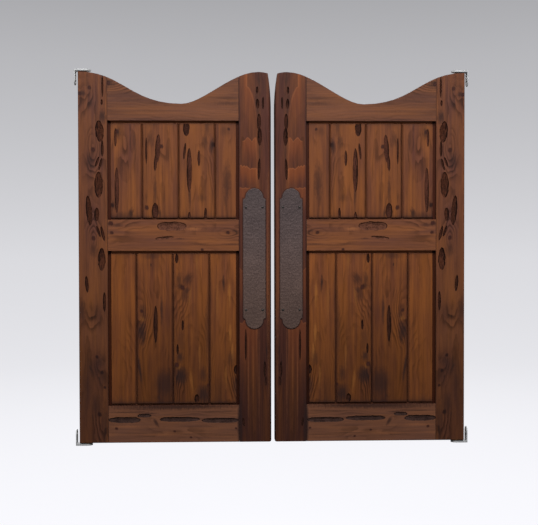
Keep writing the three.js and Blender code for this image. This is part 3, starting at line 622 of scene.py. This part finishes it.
# How far each kind of mark covers the wood, and its colour, from the lowest up.
COVERS = {
    "torn": (0.55, rgb(0.210, 0.056, 0.0165)),
    "bright": (0.45, rgb(0.300, 0.102, 0.040)),
    # Painted shadow round the push plate.
    "plate_shadow": (0.6, DARK_STAIN_AND_SHADE),
    "pale": (1.0, rgb(0.250, 0.092, 0.037)),
    "golden": (1.0, rgb(0.252, 0.093, 0.022)),
    "stain": (0.85, DARK_STAIN_AND_SHADE),
    "rim": (0.88, rgb(0.016, 0.0064, 0.0058)),
    "heart": (0.8, rgb(0.050, 0.0155, 0.0118)),
}
# How much of the darker colour covers turned edges and grooves, and that colour: partly stain, partly
# painted shade.
EDGES = {
    "frame": (0.85, rgb(0.050, 0.0145, 0.0080)),
    "meeting_stile": (0.95, rgb(0.024, 0.0085, 0.0052)),
    "upper_board": (0.25, rgb(0.058, 0.0205, 0.0140)),
    "lower_board": (0.45, rgb(0.058, 0.0205, 0.0140)),
}
# Heights in millimetres between which a board gets darker.
FADE = (600, 150)
WOOD_GLOSS = 0.09
ROUGH_NOISE = (0.2, 0.2, 0.03)
ROUGH_LEAST = 0.32
ROUGH_PATCHES = 0.22
ROUGH_EDGES = 0.4


def wood_material(name, board, seed):
    tree = new_material("wood_" + name)
    place, turn, _, _ = tree.group("leaf_place", {})
    across, through, up = place.split()
    swirl, near, masks = knot_masks(board, place)
    light = "golden" if name.startswith("lower") else "pale"
    masks["stain"], masks[light] = stain_masks(board, place)
    beside, along = by_grain(board, across, up)
    colour, height = tree.group("wood", {
        "Along": along, "Across": beside, "Through": through, "Seed": seed,
        "Pith": board.pith[0], "Depth": board.pith[1], "Lean": board.lean,
        "Swirl": swirl, "Near": near, "Warmth": board.warmth, "Dull": board.dull,
        "Value": board.value - up.step(*FADE) * (board.value * board.fade)})
    if name == "meeting_stile":
        masks["torn"], masks["bright"] = tears(place)
        # Painted shadow round the push plate.
        masks["plate_shadow"] = plate_shadow(tree, across, up)
    for kind, (share, cover) in COVERS.items():
        if kind in masks:
            colour = tree.mix(masks[kind] * share, colour, cover)
    # Turned edges and grooves darken: partly stain, partly painted shade.
    share, edge = EDGES.get(board_kind(name), EDGES["frame"])
    colour = tree.mix(turn * share, colour, edge)
    if "board" in name:
        colour = panel_finish(tree, name, colour, place)
    else:
        colour = tree.mix(joint_line(across), colour, DARK_STAIN_AND_SHADE)
    rough = turn * ROUGH_EDGES + place.noise(ROUGH_NOISE) * ROUGH_PATCHES + ROUGH_LEAST
    return tree.done({"Base Color": colour, "Roughness": rough, "Specular IOR Level": WOOD_GLOSS,
                      "Normal": tree.bump(height, 0.35, 0.5)})


# The pits of a board: the depths in millimetres where their dark rim, a painted shade, ends and where
# their floor's colour is full, and the colours of the two; the dark one also shows between the floor's
# grains.
RAIL_PITS = ((0.3, 2.4), (0.0170, 0.0074, 0.0054), (0.135, 0.0520, 0.0310))
PIT_FINISHES = {
    "hinge_stile": ((0.9, 4.6), (0.0125, 0.0053, 0.0042), (0.074, 0.0245, 0.0130)),
    "meeting_stile": ((0.5, 3.4), (0.0110, 0.0048, 0.0040), (0.050, 0.0175, 0.0108)),
    "top_rail": RAIL_PITS,
    "middle_rail": RAIL_PITS,
    "bottom_rail": ((0.4, 2.6), (0.0180, 0.0092, 0.0078), (0.052, 0.0275, 0.0225)),
    "upper_board": ((0.3, 2.2), (0.0140, 0.0058, 0.0044), (0.082, 0.0290, 0.0180)),
    "lower_board": ((0.6, 3.4), (0.0095, 0.0041, 0.0032), (0.046, 0.0165, 0.0100)),
}
PIT_GRAINS = (0.5, 0.5, 0.3)
PIT_CLOUD = (0.05, 0.05, 0.02)
PIT_LIGHT = (0.50, 0.90)
# Walls facing up take the floor's colour as painted light; walls facing the middle keep the dark colour as
# painted shade.
PIT_LIT_RISE = (0.2, 0.7)
PIT_SHADE = (0.55, 0.0)


def pit_material(name, depths, dark, floor):
    """A pit's crumbly inside: lighter brown grains, painted shade at its rim and painted light on walls
    facing up.
    """
    tree = new_material(name + "_pit")
    place, _, inward, rise = tree.group("leaf_place", {})
    depth = half_of(name) / MM - abs(place.split()[1])
    grains = place.noise(PIT_GRAINS, 4, 0.7)
    lit = (grains + place.noise(PIT_CLOUD) * 0.5).step(*PIT_LIGHT)
    # Painted shade on the rim and on walls facing the middle, painted light on walls facing up.
    lit = lit * depth.step(*depths).most(rise.step(*PIT_LIT_RISE)) * inward.step(*PIT_SHADE)
    return tree.done({"Base Color": tree.mix(lit, rgb(*dark), rgb(*floor)), "Roughness": 0.85,
                      "Specular IOR Level": 0.04, "Normal": tree.bump(grains, 0.8, 1.2)})


# Bronze of the push plates: dark and light at their foot and at their head, and painted shade along their
# rim.
BRONZE_DARK = (rgb(0.062, 0.036, 0.030), rgb(0.040, 0.0275, 0.0285))
BRONZE_LIGHT = (rgb(0.130, 0.079, 0.062), rgb(0.086, 0.060, 0.058))
BRONZE_RIM_SHADE = rgb(0.018, 0.012, 0.011)
BRONZE_MOTTLE = 300.0
BRONZE_CLOUD = 22.0
WORN_REACH = (190 * MM, 40 * MM)
WORN_GAIN = 0.25
UNWORN = 0.92


def bronze_material():
    """Hammered bronze, darkened, a little lighter on its high places and where pushed; painted shade on its
    rim.
    """
    tree = new_material("hammered_bronze")
    place = tree.coordinates("Object")
    mottle = place.noise(BRONZE_MOTTLE, 3, 0.6)
    level = mottle + (place.noise(BRONZE_CLOUD) - 0.5) * 0.3
    up = place.split()[2]
    height = up.step(PLATE_LOW.z, PLATE_HIGH.z)
    dark = tree.mix(height, *BRONZE_DARK)
    light = tree.mix(height, *BRONZE_LIGHT)
    colour = tree.mix(level.step(0.25, 0.75), dark, light)
    worn = abs(up - PLATE_MIDDLE.z).step(*WORN_REACH)
    colour = tree.dim(colour, worn * WORN_GAIN + UNWORN)
    # Painted shade along the rim, where the surface turns from the face.
    turn = tree.group("leaf_place", {})[1]
    return tree.done({"Base Color": tree.mix(turn, colour, BRONZE_RIM_SHADE), "Metallic": 0.6,
                      "Roughness": mottle * 0.2 + 0.42, "Normal": tree.bump(mottle, 0.25, 0.3)})


# Other metals: dark and light colour, how metallic and rough they are, how fine their mottling is.
METALS = {
    "plate_screws": (rgb(0.022, 0.018, 0.017), rgb(0.06, 0.05, 0.045), 0.7, 0.4, 500),
    "bracket_metal": (rgb(0.34, 0.345, 0.35), rgb(0.46, 0.465, 0.47), 0.35, 0.5, 180),
    "bearing_bronze": (rgb(0.30, 0.18, 0.08), rgb(0.42, 0.27, 0.13), 1.0, 0.3, 220),
    "bright_steel": (rgb(0.36, 0.36, 0.37), rgb(0.55, 0.55, 0.56), 1.0, 0.25, 260),
}
SCRATCHES = (1800, 1800, 108)


def metal_material(name, dark, light, metallic, roughness, scale):
    """Plain metal with faint mottling and fine scratches."""
    tree = new_material(name)
    place = tree.coordinates("Object")
    mottle = place.noise(scale, 3, 0.6)
    return tree.done({"Base Color": tree.mix(mottle.step(0.3, 0.7), dark, light), "Metallic": metallic,
                      "Roughness": mottle * 0.15 + roughness,
                      "Normal": tree.bump(place.noise(SCRATCHES), 0.1, 0.1)})


GROUPS = {"leaf_place": leaf_place_group(), "mark": mark_group(), "wood": wood_group()}
MATERIALS = {kind: pit_material(kind, *finish) for kind, finish in PIT_FINISHES.items()}
MATERIALS |= {name: metal_material(name, *finish) for name, finish in METALS.items()}
MATERIALS["hammered_bronze"] = bronze_material()


def new_object(name, data, *materials):
    made = bpy.data.objects.new(name, data)
    bpy.context.scene.collection.objects.link(made)
    for material in materials:
        data.materials.append(material)
    return made


def mesh_of(bm, name):
    mesh = bpy.data.meshes.new(name)
    bm.to_mesh(mesh)
    bm.free()
    return mesh


def applied(obj):
    """The mesh of obj with its modifiers applied. The object itself goes."""
    seen = bpy.context.evaluated_depsgraph_get()
    mesh = bpy.data.meshes.new_from_object(obj.evaluated_get(seen))
    bpy.data.objects.remove(obj)
    return mesh


def cut(obj, cutters):
    """obj's mesh with the cutters' shapes taken out of it."""
    for cutter in cutters:
        boolean = obj.modifiers.new("cut", "BOOLEAN")
        boolean.operation = "DIFFERENCE"
        boolean.solver = "MANIFOLD"
        boolean.object = cutter
    mesh = applied(obj)
    for cutter in cutters:
        bpy.data.objects.remove(cutter)
    return mesh


MIRROR = Matrix.Scale(-1, 4, (1, 0, 0))
TURN_BACK = Matrix.Scale(-1, 4, (0, 1, 0))
SMOOTH_ANGLE = math.radians(38)


def moved_copy(mesh, matrix):
    """A copy of a mesh, turned, moved or mirrored, with its faces pointing out."""
    copy = mesh.copy()
    copy.transform(matrix)
    if matrix.determinant() < 0:
        copy.flip_normals()
    return copy


def place_pair(mesh, name, slot, body="leaf"):
    """Stands a finished mesh of the left half and its mirror image in for two CAD nodes."""
    for side in SIDES:
        node = f"{side}_{name}"
        copy = moved_copy(mesh, MIRROR if side == "right" else Matrix())
        copy.shade_smooth()
        copy.set_sharp_from_angle(angle=SMOOTH_ANGLE)
        made = new_object(node + "_finish", copy)
        made.modifiers.new("normals", "WEIGHTED_NORMAL").keep_sharp = True
        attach(made, f"{side}_{body}" if body == "leaf" else body)
        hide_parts(node)


# Eased edges, in metres.
OUTER_EASE = 2.2 * MM
INNER_EASE = 0.6 * MM
JOINT_EASES = (0.3 * MM, 1.2 * MM)
HARDWARE_EASE = 0.5 * MM
ON_LINE = 1.0 * MM
ON_FACE = 0.1 * MM
WELD = 0.001 * MM
FLAT_ANGLE = math.radians(0.5)
EASED_ANGLE = math.radians(25)


def solid_of(node):
    """A welded copy of a CAD node's mesh, with its flat faces whole."""
    bm = bmesh.new()
    bm.from_mesh(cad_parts[node].data)
    bmesh.ops.remove_doubles(bm, verts=bm.verts, dist=WELD)
    bmesh.ops.dissolve_limit(bm, angle_limit=FLAT_ANGLE, verts=bm.verts, edges=bm.edges)
    return bm


def add_bevel(obj, method, width, segments):
    bevel = obj.modifiers.new("ease", "BEVEL")
    bevel.limit_method = method
    bevel.angle_limit = SMOOTH_ANGLE
    bevel.width = width
    bevel.segments = segments


def ease_at(middle, half):
    """How far an edge of a board's face is rounded over, by the edge's middle."""
    if half < HALF_LEAF:
        return INNER_EASE
    for line, ease in zip(OPENING, JOINT_EASES):
        if abs(middle.x - line) < ON_LINE:
            return ease
    at_rail = any(abs(middle.z - line) < ON_LINE for line in RAIL_EDGES)
    return INNER_EASE if at_rail else OUTER_EASE


def eased(node, half):
    """A board with the edges of its two faces rounded over."""
    bm = solid_of(node)
    weight = bm.edges.layers.float.new("bevel_weight_edge")
    for edge in bm.edges:
        on_face = all(abs(abs(v.co.y) - half) < ON_FACE for v in edge.verts)
        if on_face and edge.calc_face_angle(0) > EASED_ANGLE:
            middle = (edge.verts[0].co + edge.verts[1].co) / 2
            edge[weight] = ease_at(middle, half) / OUTER_EASE
    made = new_object("eased", mesh_of(bm, node))
    add_bevel(made, "WEIGHT", OUTER_EASE, 3)
    return made


# Pits: fineness of their mesh, length in millimetres that needs a finer one, and their lumps.
PIT_FINENESS = 3
LONG_PIT = 50
PIT_LUMPS = 0.19
PIT_TAPER = 0.04
PIT_STEEPNESS = 0.6


def pit_cutter(pit, name, face_y, seed):
    """A lumpy spindle that hollows a pit out of a board's face."""
    bm = bmesh.new()
    bmesh.ops.create_icosphere(bm, subdivisions=PIT_FINENESS + (pit.length > LONG_PIT), radius=1.0)
    half = Vector((pit.width / 2, pit.depth, pit.length / 2))
    for vert in bm.verts:
        x, y, z = vert.co
        along = z * half.z / half.x
        lump = noise.noise(Vector((x * 2.2, y * 2.2 + seed, along * 0.9)))
        lump += 0.5 * noise.noise(Vector((x * 5, y * 5 - seed, along * 2.0)))
        blunt = math.sqrt(1 + z * z) if name.endswith("rail") else 1 - PIT_TAPER * z * z
        aside = x * half.x * blunt * (1 + PIT_LUMPS * lump)
        deep = math.copysign(abs(y) ** PIT_STEEPNESS, y) * half.y * (1 + 2 * PIT_LUMPS * lump)
        vert.co = Vector((aside, deep, z * half.z))
    lean = pit.tilt + (90 if BOARDS[name].grain == "across" else 0)
    turn = Matrix.Rotation(math.radians(lean), 4, "Y")
    spot = Vector((HINGE_EDGE + pit.across * MM, face_y, LEAF_FOOT + pit.up * MM))
    bm.transform(Matrix.Translation(spot) @ turn @ Matrix.Scale(MM, 4))
    return new_object("pit", mesh_of(bm, "pit"), MATERIALS[board_kind(name)])


# Pits on the backs, in millimetres and degrees: the area that each has, how clear they keep of a
# board's edges across and up, the height of the top rail below its scoop, and the limits of their
# width, slimness, place along and across the grain, depth and tilt.
BACK_PIT_AREA = 16000
BACK_MARGINS = (12, 24)
BELOW_SCOOP = 45
BACK_PIT_LIMITS = ((6, 15), (2.5, 6), (0.2, 0.8), (0, 1), (2, 5), (-6, 6))


def back_pits(node, board, seed):
    """Pits on the unseen face of a board, spread at random."""
    draw = random.Random(seed)
    low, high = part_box(node)
    reach = (max(low.x, OPENING[0]), min(high.x, OPENING[1]))
    x0, x1 = map(from_edge, (low.x, high.x) if node.endswith("stile") else reach)
    z0, z1 = map(from_foot, (low.z, high.z))
    if node.endswith("top_rail"):
        z1 = z0 + BELOW_SCOOP
    count = round((x1 - x0) * (z1 - z0) / BACK_PIT_AREA)
    ranges = [(a + gap, b - gap) for (a, b), gap in zip(((x0, x1), (z0, z1)), BACK_MARGINS)]
    (side_low, side_high), (end_low, end_high) = by_grain(board, *ranges)
    found = []
    for index in range(count):
        width, slim, share, beside, depth, tilt = starmap(draw.uniform, BACK_PIT_LIMITS)
        length = width * slim
        along = (index + share) / count * (end_high - end_low - length) + end_low + length / 2
        beside = beside * (side_high - side_low - width) + side_low + width / 2
        found.append(Pit(*by_grain(board, beside, along), width, length, depth, tilt))
    return found


def clear_of_plate(pit):
    """Whether a pit on the back keeps clear of the push plate."""
    low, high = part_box("left_back_push_plate")
    beside = pit.across + pit.width < from_edge(low.x) or pit.across - pit.width > from_edge(high.x)
    return beside or pit.up + pit.length < from_foot(low.z) or pit.up - pit.length > from_foot(high.z)


SEED_STEP = 3.7


def make_board(name, board, seed):
    """One board of the left leaf and its mirror image on the right."""
    node = "left_" + name
    half = half_of(name)
    made = eased(node, half)
    made.data.materials.append(wood_material(name, board, seed * SEED_STEP))
    made.data.materials.append(MATERIALS[board_kind(name)])
    behind = [pit for pit in back_pits(node, board, seed) if clear_of_plate(pit)]
    seen = starmap(Pit, board.pits)
    cutters = [pit_cutter(pit, name, -half, index + seed) for index, pit in enumerate(seen)]
    cutters += [pit_cutter(pit, name, half, index - seed) for index, pit in enumerate(behind)]
    place_pair(cut(made, cutters), name, "panel_wood" if "board" in name else "frame_wood")


def arc(x, z, radius, start, end, steps):
    """Points on an arc, by its start and end in quarter turns."""
    turns = [(start + (end - start) * step / steps) * math.pi / 2 for step in range(steps + 1)]
    return [Vector((x + radius * math.cos(turn), z + radius * math.sin(turn))) for turn in turns]


def join_rings(bm, rings):
    """Faces between closed rings of points. A ring of one point is a tip."""
    for lower, upper in zip(rings, rings[1:]):
        count = max(len(lower), len(upper))
        for index in range(count):
            after = (index + 1) % count
            corners = [lower[index % len(lower)], lower[after % len(lower)],
                       upper[after % len(upper)], upper[index % len(upper)]]
            bm.faces.new(list(dict.fromkeys(corners)))


def turned(profile, sides):
    """A shape turned about the upright axis from (radius, height) points that start on it."""
    bm = bmesh.new()
    rings = []
    for radius, height in profile:
        circle = arc(0, 0, radius, 0, 4, sides)[:sides if radius > 0 else 1]
        rings.append([bm.verts.new((p.x, p.y, height)) for p in circle])
    join_rings(bm, rings)
    bmesh.ops.recalc_face_normals(bm, faces=bm.faces)
    return bm


# Push plate, in millimetres: its outline's steps, its rim, the points of its face and the marks of
# the hammer.
SHOULDER_STEPS = 6
LOBE_STEPS = 40
SIDE_STEP = 3.0
RIM = 1.0
RIM_CLEARANCE = 1.19
POINT_SPACING = 1.7
POINT_JITTER = 0.2
DIMPLE_PITCH = 6.6
DIMPLE_JITTER = 0.4
DIMPLE_RADIUS = (4.0, 6.0)
DIMPLE_DEPTH = (0.18, 0.42)
PLATE_SEED = 41


def plate_outline(width, height):
    """The push plate's outline about its middle, counterclockwise."""
    aside = width / 2 - SHOULDER_RADIUS
    shoulder = height / 2 - LOBE_HEIGHT - SHOULDER_RADIUS
    upper = arc(aside, shoulder, SHOULDER_RADIUS, 0, 1, SHOULDER_STEPS)
    upper += arc(0, height / 2 - LOBE_RADIUS, LOBE_RADIUS, 0, 2, LOBE_STEPS)
    upper += arc(-aside, shoulder, SHOULDER_RADIUS, 1, 2, SHOULDER_STEPS)
    corners = upper + [-point for point in upper]
    ring = []
    for start, end in zip(corners, corners[1:] + corners[:1]):
        steps = max(1, round((end - start).length / SIDE_STEP))
        ring += [start.lerp(end, step / steps) for step in range(steps)]
    return ring


def inset(ring, distance):
    """A closed outline moved inwards."""
    moved = []
    for index, point in enumerate(ring):
        way = (ring[(index + 1) % len(ring)] - ring[index - 1]).normalized()
        moved.append(point + distance * Vector((-way.y, way.x)))
    return moved


def inside(point, ring):
    """Whether a point lies within a closed outline."""
    crossed = False
    for start, end in zip(ring, ring[1:] + ring[:1]):
        if (start.y > point.y) != (end.y > point.y):
            share = (point.y - start.y) / (end.y - start.y)
            crossed ^= point.x < start.x + share * (end.x - start.x)
    return crossed


def staggered(low, columns, rows, pitch, jitter, draw):
    """Places on a grid with every second row moved half a step, each a little off."""
    for row in range(rows):
        for column in range(columns):
            x = column + 0.5 * (row % 2) + draw.uniform(-jitter, jitter)
            yield low + pitch * Vector((x, row + draw.uniform(-jitter, jitter)))


def hammered_face(ring, size):
    """Points and triangles of a plate's face, as (x, depth below the face, z)."""
    draw = random.Random(PLATE_SEED)
    counts = [int(length / DIMPLE_PITCH) + 2 for length in size]
    blows = [(place.to_3d(), draw.uniform(*DIMPLE_RADIUS), draw.uniform(*DIMPLE_DEPTH))
             for place in staggered(-size / 2, *counts, DIMPLE_PITCH, DIMPLE_JITTER, draw)]
    near = kdtree.KDTree(len(blows))
    for index, blow in enumerate(blows):
        near.insert(blow[0], index)
    near.balance()
    low, high = (Vector([limit(axis) for axis in zip(*ring)]) for limit in (min, max))
    counts = [int(length / POINT_SPACING) + 1 for length in high - low]
    clear = inset(ring, RIM_CLEARANCE)
    spread = staggered(low, *counts, POINT_SPACING, POINT_JITTER, draw)
    points = ring + [place for place in spread if inside(place, clear)]
    border = [(index, (index + 1) % len(ring)) for index in range(len(ring))]
    flat, _, triangles, _, _, _ = geometry.delaunay_2d_cdt(points, border, [], 1, 1e-6)
    placed = []
    for index, point in enumerate(flat):
        depth = 0.0
        if index >= len(ring):
            for _, number, gap in near.find_range(point.to_3d(), DIMPLE_RADIUS[1]):
                _, radius, deepest = blows[number]
                depth = max(depth, deepest * (1 - (gap / radius) ** 2))
        placed.append((point.x, depth, point.y))
    return placed, triangles


def plate_mesh():
    """The front push plate of the left leaf: hammered face, rounded rim, flat back."""
    size = (PLATE_HIGH - PLATE_LOW) / MM
    outline = plate_outline(size.x, size.z)
    rings = ((0.0, size.y), (0.0, RIM), (0.3 * RIM, 0.3 * RIM))
    face, triangles = hammered_face(inset(outline, RIM), size.xz)
    bm = bmesh.new()
    layers = [[bm.verts.new((p.x, depth, p.y)) for p in inset(outline, away)] for away, depth in rings]
    front = [bm.verts.new(place) for place in face]
    join_rings(bm, layers + [front[:len(outline)]])
    for corners in triangles:
        bm.faces.new([front[index] for index in corners])
    bm.faces.new(reversed(layers[0]))
    bmesh.ops.recalc_face_normals(bm, faces=bm.faces)
    spot = Vector((PLATE_MIDDLE.x, PLATE_LOW.y, PLATE_MIDDLE.z))
    bm.transform(Matrix.Translation(spot) @ Matrix.Scale(MM, 4))
    return mesh_of(bm, "left_front_push_plate")


# Plate screws, in millimetres.
SCREW_HEAD = 3.6
SCREW_SHANK = 2.0
SCREW_DOME = 1.1
SCREW_BRIM = 0.2
SCREW_SLOT = 0.9
SCREW_SLOT_DEPTH = 1.3
SCREW_SIDES = 32
DOME_STEPS = 6
HOLE_GAP = 0.25
HOLE_OVERCUT = 1


def toward_front(bm, node, turn=0.0):
    """Turns a solid about its axis and lays it over, to point to the front at a screw's place."""
    low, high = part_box(node)
    place = Matrix.Translation(((low.x + high.x) / 2, 0, (low.z + high.z) / 2))
    turns = Matrix.Rotation(math.pi / 2, 4, "X") @ Matrix.Rotation(turn, 4, "Z")
    bm.transform(place @ turns @ Matrix.Scale(MM, 4))


def screw_mesh(node, turn):
    """A slotted oval-head wood screw, seated in the front push plate of the left leaf."""
    low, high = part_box(node)
    crown, tip = -low.y / MM, -high.y / MM
    seat = -PLATE_HIGH.y / MM
    brim = crown - SCREW_DOME
    dome = arc(0, 0, 1, 0, 1, DOME_STEPS)[:-1]
    profile = [(0, tip), (SCREW_SHANK, tip + 2 * SCREW_SHANK), (SCREW_SHANK, seat)]
    profile += [(SCREW_HEAD, brim - SCREW_BRIM)]
    profile += [(SCREW_HEAD * p.x, brim + SCREW_DOME * p.y) for p in dome]
    bm = turned(profile + [(0, crown)], SCREW_SIDES)
    toward_front(bm, node, turn)
    slot = bmesh.new()
    size = Matrix.Diagonal((3 * SCREW_HEAD, SCREW_SLOT, 2 * SCREW_SLOT_DEPTH, 1))
    bmesh.ops.create_cube(slot, size=1.0, matrix=Matrix.Translation((0, 0, crown)) @ size)
    toward_front(slot, node, turn)
    metal = MATERIALS["plate_screws"]
    screw = new_object("screw", mesh_of(bm, node), metal)
    return cut(screw, [new_object("slot", mesh_of(slot, "slot"), metal)])


def screw_hole(node):
    """What a plate screw's countersunk hole takes out of the front push plate."""
    face, seat = -PLATE_LOW.y / MM, -PLATE_HIGH.y / MM
    neck, mouth = SCREW_SHANK + HOLE_GAP, SCREW_HEAD + HOLE_GAP
    below, above = seat - HOLE_OVERCUT, face + HOLE_OVERCUT
    profile = [(0, below), (neck, below), (neck, seat), (mouth, face), (mouth, above), (0, above)]
    bm = turned(profile, SCREW_SIDES)
    toward_front(bm, node)
    return new_object("hole", mesh_of(bm, "hole"), MATERIALS["hammered_bronze"])


def place_all(mesh, name, slot):
    """Places a front piece of the left leaf, and its copies on the back and on the right leaf."""
    for face in FACES:
        copy = moved_copy(mesh, TURN_BACK if face == "back" else Matrix())
        place_pair(copy, f"{face}_{name}", slot)


def make_plates():
    screws = [f"plate_screw_{number}" for number in range(1, 5)]
    plate = new_object("plate", plate_mesh(), MATERIALS["hammered_bronze"])
    holes = [screw_hole("left_front_" + name) for name in screws]
    place_all(cut(plate, holes), "push_plate", "hammered_bronze")
    draw = random.Random(PLATE_SEED)
    for name in screws:
        place_all(screw_mesh("left_front_" + name, draw.uniform(0, math.pi)), name, "plate_screws")


SPRING_WIRE = 1.1 * MM
SPRING_CURLS = 10
CURL_STEPS = 32
WIRE_SIDES = 10
UPWARD = Vector((0, 0, 1))
# Each piece of the pivot set with its slot and the body that carries it.
HARDWARE = {
    "top_jamb_bracket": ("bracket_metal", "jamb_hardware"),
    "bottom_jamb_bracket": ("bracket_metal", "jamb_hardware"),
    "pivot_spindle": ("bright_steel", "jamb_hardware"),
    "thrust_washer": ("bearing_bronze", "jamb_hardware"),
    "top_pivot_bush": ("bearing_bronze", "leaf"),
    "spring_tube": ("bright_steel", "leaf"),
    "return_spring": ("bright_steel", "leaf"),
}


def eased_solid(node, material):
    """A copy of a metal piece with its edges rounded over."""
    made = new_object("hardware", mesh_of(solid_of(node), node), material)
    add_bevel(made, "ANGLE", HARDWARE_EASE, 2)
    return applied(made)


def wound_spring(node, material):
    """One round wire wound up a helix, with a flat cap on each end."""
    low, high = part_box(node)
    middle = (low + high) / 2
    radius = (high.y - low.y) / 2 - SPRING_WIRE
    rise = high.z - low.z - 2 * SPRING_WIRE
    steps = SPRING_CURLS * CURL_STEPS
    circle = arc(0, 0, SPRING_WIRE, 0, 4, WIRE_SIDES)[:-1]
    bm = bmesh.new()
    rings = []
    for step in range(steps + 1):
        angle = 2 * math.pi * step / CURL_STEPS
        outward = Vector((math.cos(angle), math.sin(angle), 0))
        spot = Vector((middle.x, middle.y, low.z + SPRING_WIRE + rise * step / steps))
        spot += radius * outward
        rings.append([bm.verts.new(spot + p.x * outward + p.y * UPWARD) for p in circle])
    join_rings(bm, rings)
    bm.faces.new(rings[0])
    bm.faces.new(rings[-1])
    bmesh.ops.recalc_face_normals(bm, faces=bm.faces)
    mesh = mesh_of(bm, node)
    mesh.materials.append(material)
    return mesh


def make_hardware():
    for name, (slot, body) in HARDWARE.items():
        make = wound_spring if name == "return_spring" else eased_solid
        place_pair(make("left_" + name, MATERIALS[slot]), name, slot, body)


# Camera at the photograph's viewing angle, in degrees, metres and millimetres of lens.
YAW = math.radians(-2.187)
PITCH = math.radians(-1.280)
ROLL = math.radians(-0.094)
TARGET = Vector((-0.0110, -HALF_LEAF, 0.5272))
DISTANCE = 3.2
LENS = 74.18
SENSOR = 36.0


def make_camera():
    camera = new_object("camera", bpy.data.cameras.new("camera"))
    turn = Matrix.Rotation(YAW, 4, "Z") @ Matrix.Rotation(math.pi / 2 + PITCH, 4, "X")
    turn = turn @ Matrix.Rotation(ROLL, 4, "Z")
    camera.matrix_world = Matrix.Translation(TARGET) @ turn @ Matrix.Translation((0, 0, DISTANCE))
    camera.data.sensor_width = SENSOR
    camera.data.lens = LENS
    bpy.context.scene.camera = camera


FLOOR_DROP = 0.30
STAGE_RADIUS = 7.0
STAGE_BEND = 2.5
STAGE_TOP = 6.0
STAGE_STEPS = 16
STAGE_SIDES = 96
# How bright the stage's glow of painted light is, by the way out along its floor and up its wall, in metres.
STAGE_GLOW_LEVELS = ((0.1, 0.95), (4.5, 0.80), (7.0, 0.695), (9.5, 0.465), (10.2, 0.375), (12.5, 0.30))
STAGE_REACH = 14.0
STAGE_BLUE = 1.045
STAGE_BASE = rgb(0.02, 0.02, 0.02)


def stage_material():
    """A glow of painted light in pale grey, brighter on the floor and falling off up the wall."""
    tree = new_material("stage")
    x, y, z = tree.coordinates("Object").split()
    out = tree.length(x, y) + (z + FLOOR_DROP)
    level = tree.node("ValToRGB", {0: out / STAGE_REACH})
    stops = level.socket.node.color_ramp.elements
    for place, bright in STAGE_GLOW_LEVELS:
        stops.new(place / STAGE_REACH).color = rgb(bright, bright, bright * STAGE_BLUE)
    stops.remove(stops[0])
    stops.remove(stops[-1])
    return tree.done({"Base Color": STAGE_BASE, "Emission Color": level, "Emission Strength": 1.0,
                      "Specular IOR Level": 0.0})


def make_stage():
    """A round floor that bends up into a wall, all round."""
    bend = arc(STAGE_RADIUS - STAGE_BEND, STAGE_BEND - FLOOR_DROP, STAGE_BEND, -1, 0, STAGE_STEPS)
    bm = turned([(0, -FLOOR_DROP), *bend, (STAGE_RADIUS, STAGE_TOP)], STAGE_SIDES)
    stage = new_object("stage", mesh_of(bm, "stage"), stage_material())
    stage.data.shade_smooth()
    stage.visible_diffuse = False
    stage.visible_glossy = False
    stage.visible_shadow = False


# Area lights: their name, place and target, their size in metres and their power in watts.
LIGHTS = (
    ("key", (0.0, -2.4, 2.6), (0, 0, 0.65), (2.4, 1.4), 126),
    ("back", (0.0, 2.4, 2.6), (0, 0, 0.65), (2.4, 1.4), 90),
    ("side", (-2.8, 0.5, 1.5), (0, 0.2, 0.6), (0.8, 1.8), 22),
    ("side", (2.8, 0.5, 1.5), (0, 0.2, 0.6), (0.8, 1.8), 22),
)
WORLD_STRENGTH = 0.18


def make_light():
    for name, place, target, size, power in LIGHTS:
        data = bpy.data.lights.new(name, "AREA")
        data.shape = "RECTANGLE"
        data.size, data.size_y = size
        data.energy = power
        light = new_object(name, data)
        light.location = place
        light.rotation_euler = (Vector(target) - Vector(place)).to_track_quat("-Z", "Y").to_euler()
        light.visible_camera = False
    world = bpy.data.worlds.new("world")
    bpy.context.scene.world = world
    world.use_nodes = True
    background = world.node_tree.nodes["Background"].inputs
    background["Color"].default_value = rgb(1, 1, 1)
    background["Strength"].default_value = WORLD_STRENGTH
    bpy.context.scene.view_settings.view_transform = "Standard"


for number, (board_name, board_data) in enumerate(BOARDS.items(), start=1):
    make_board(board_name, board_data, number)
make_plates()
make_hardware()
make_camera()
make_stage()
make_light()
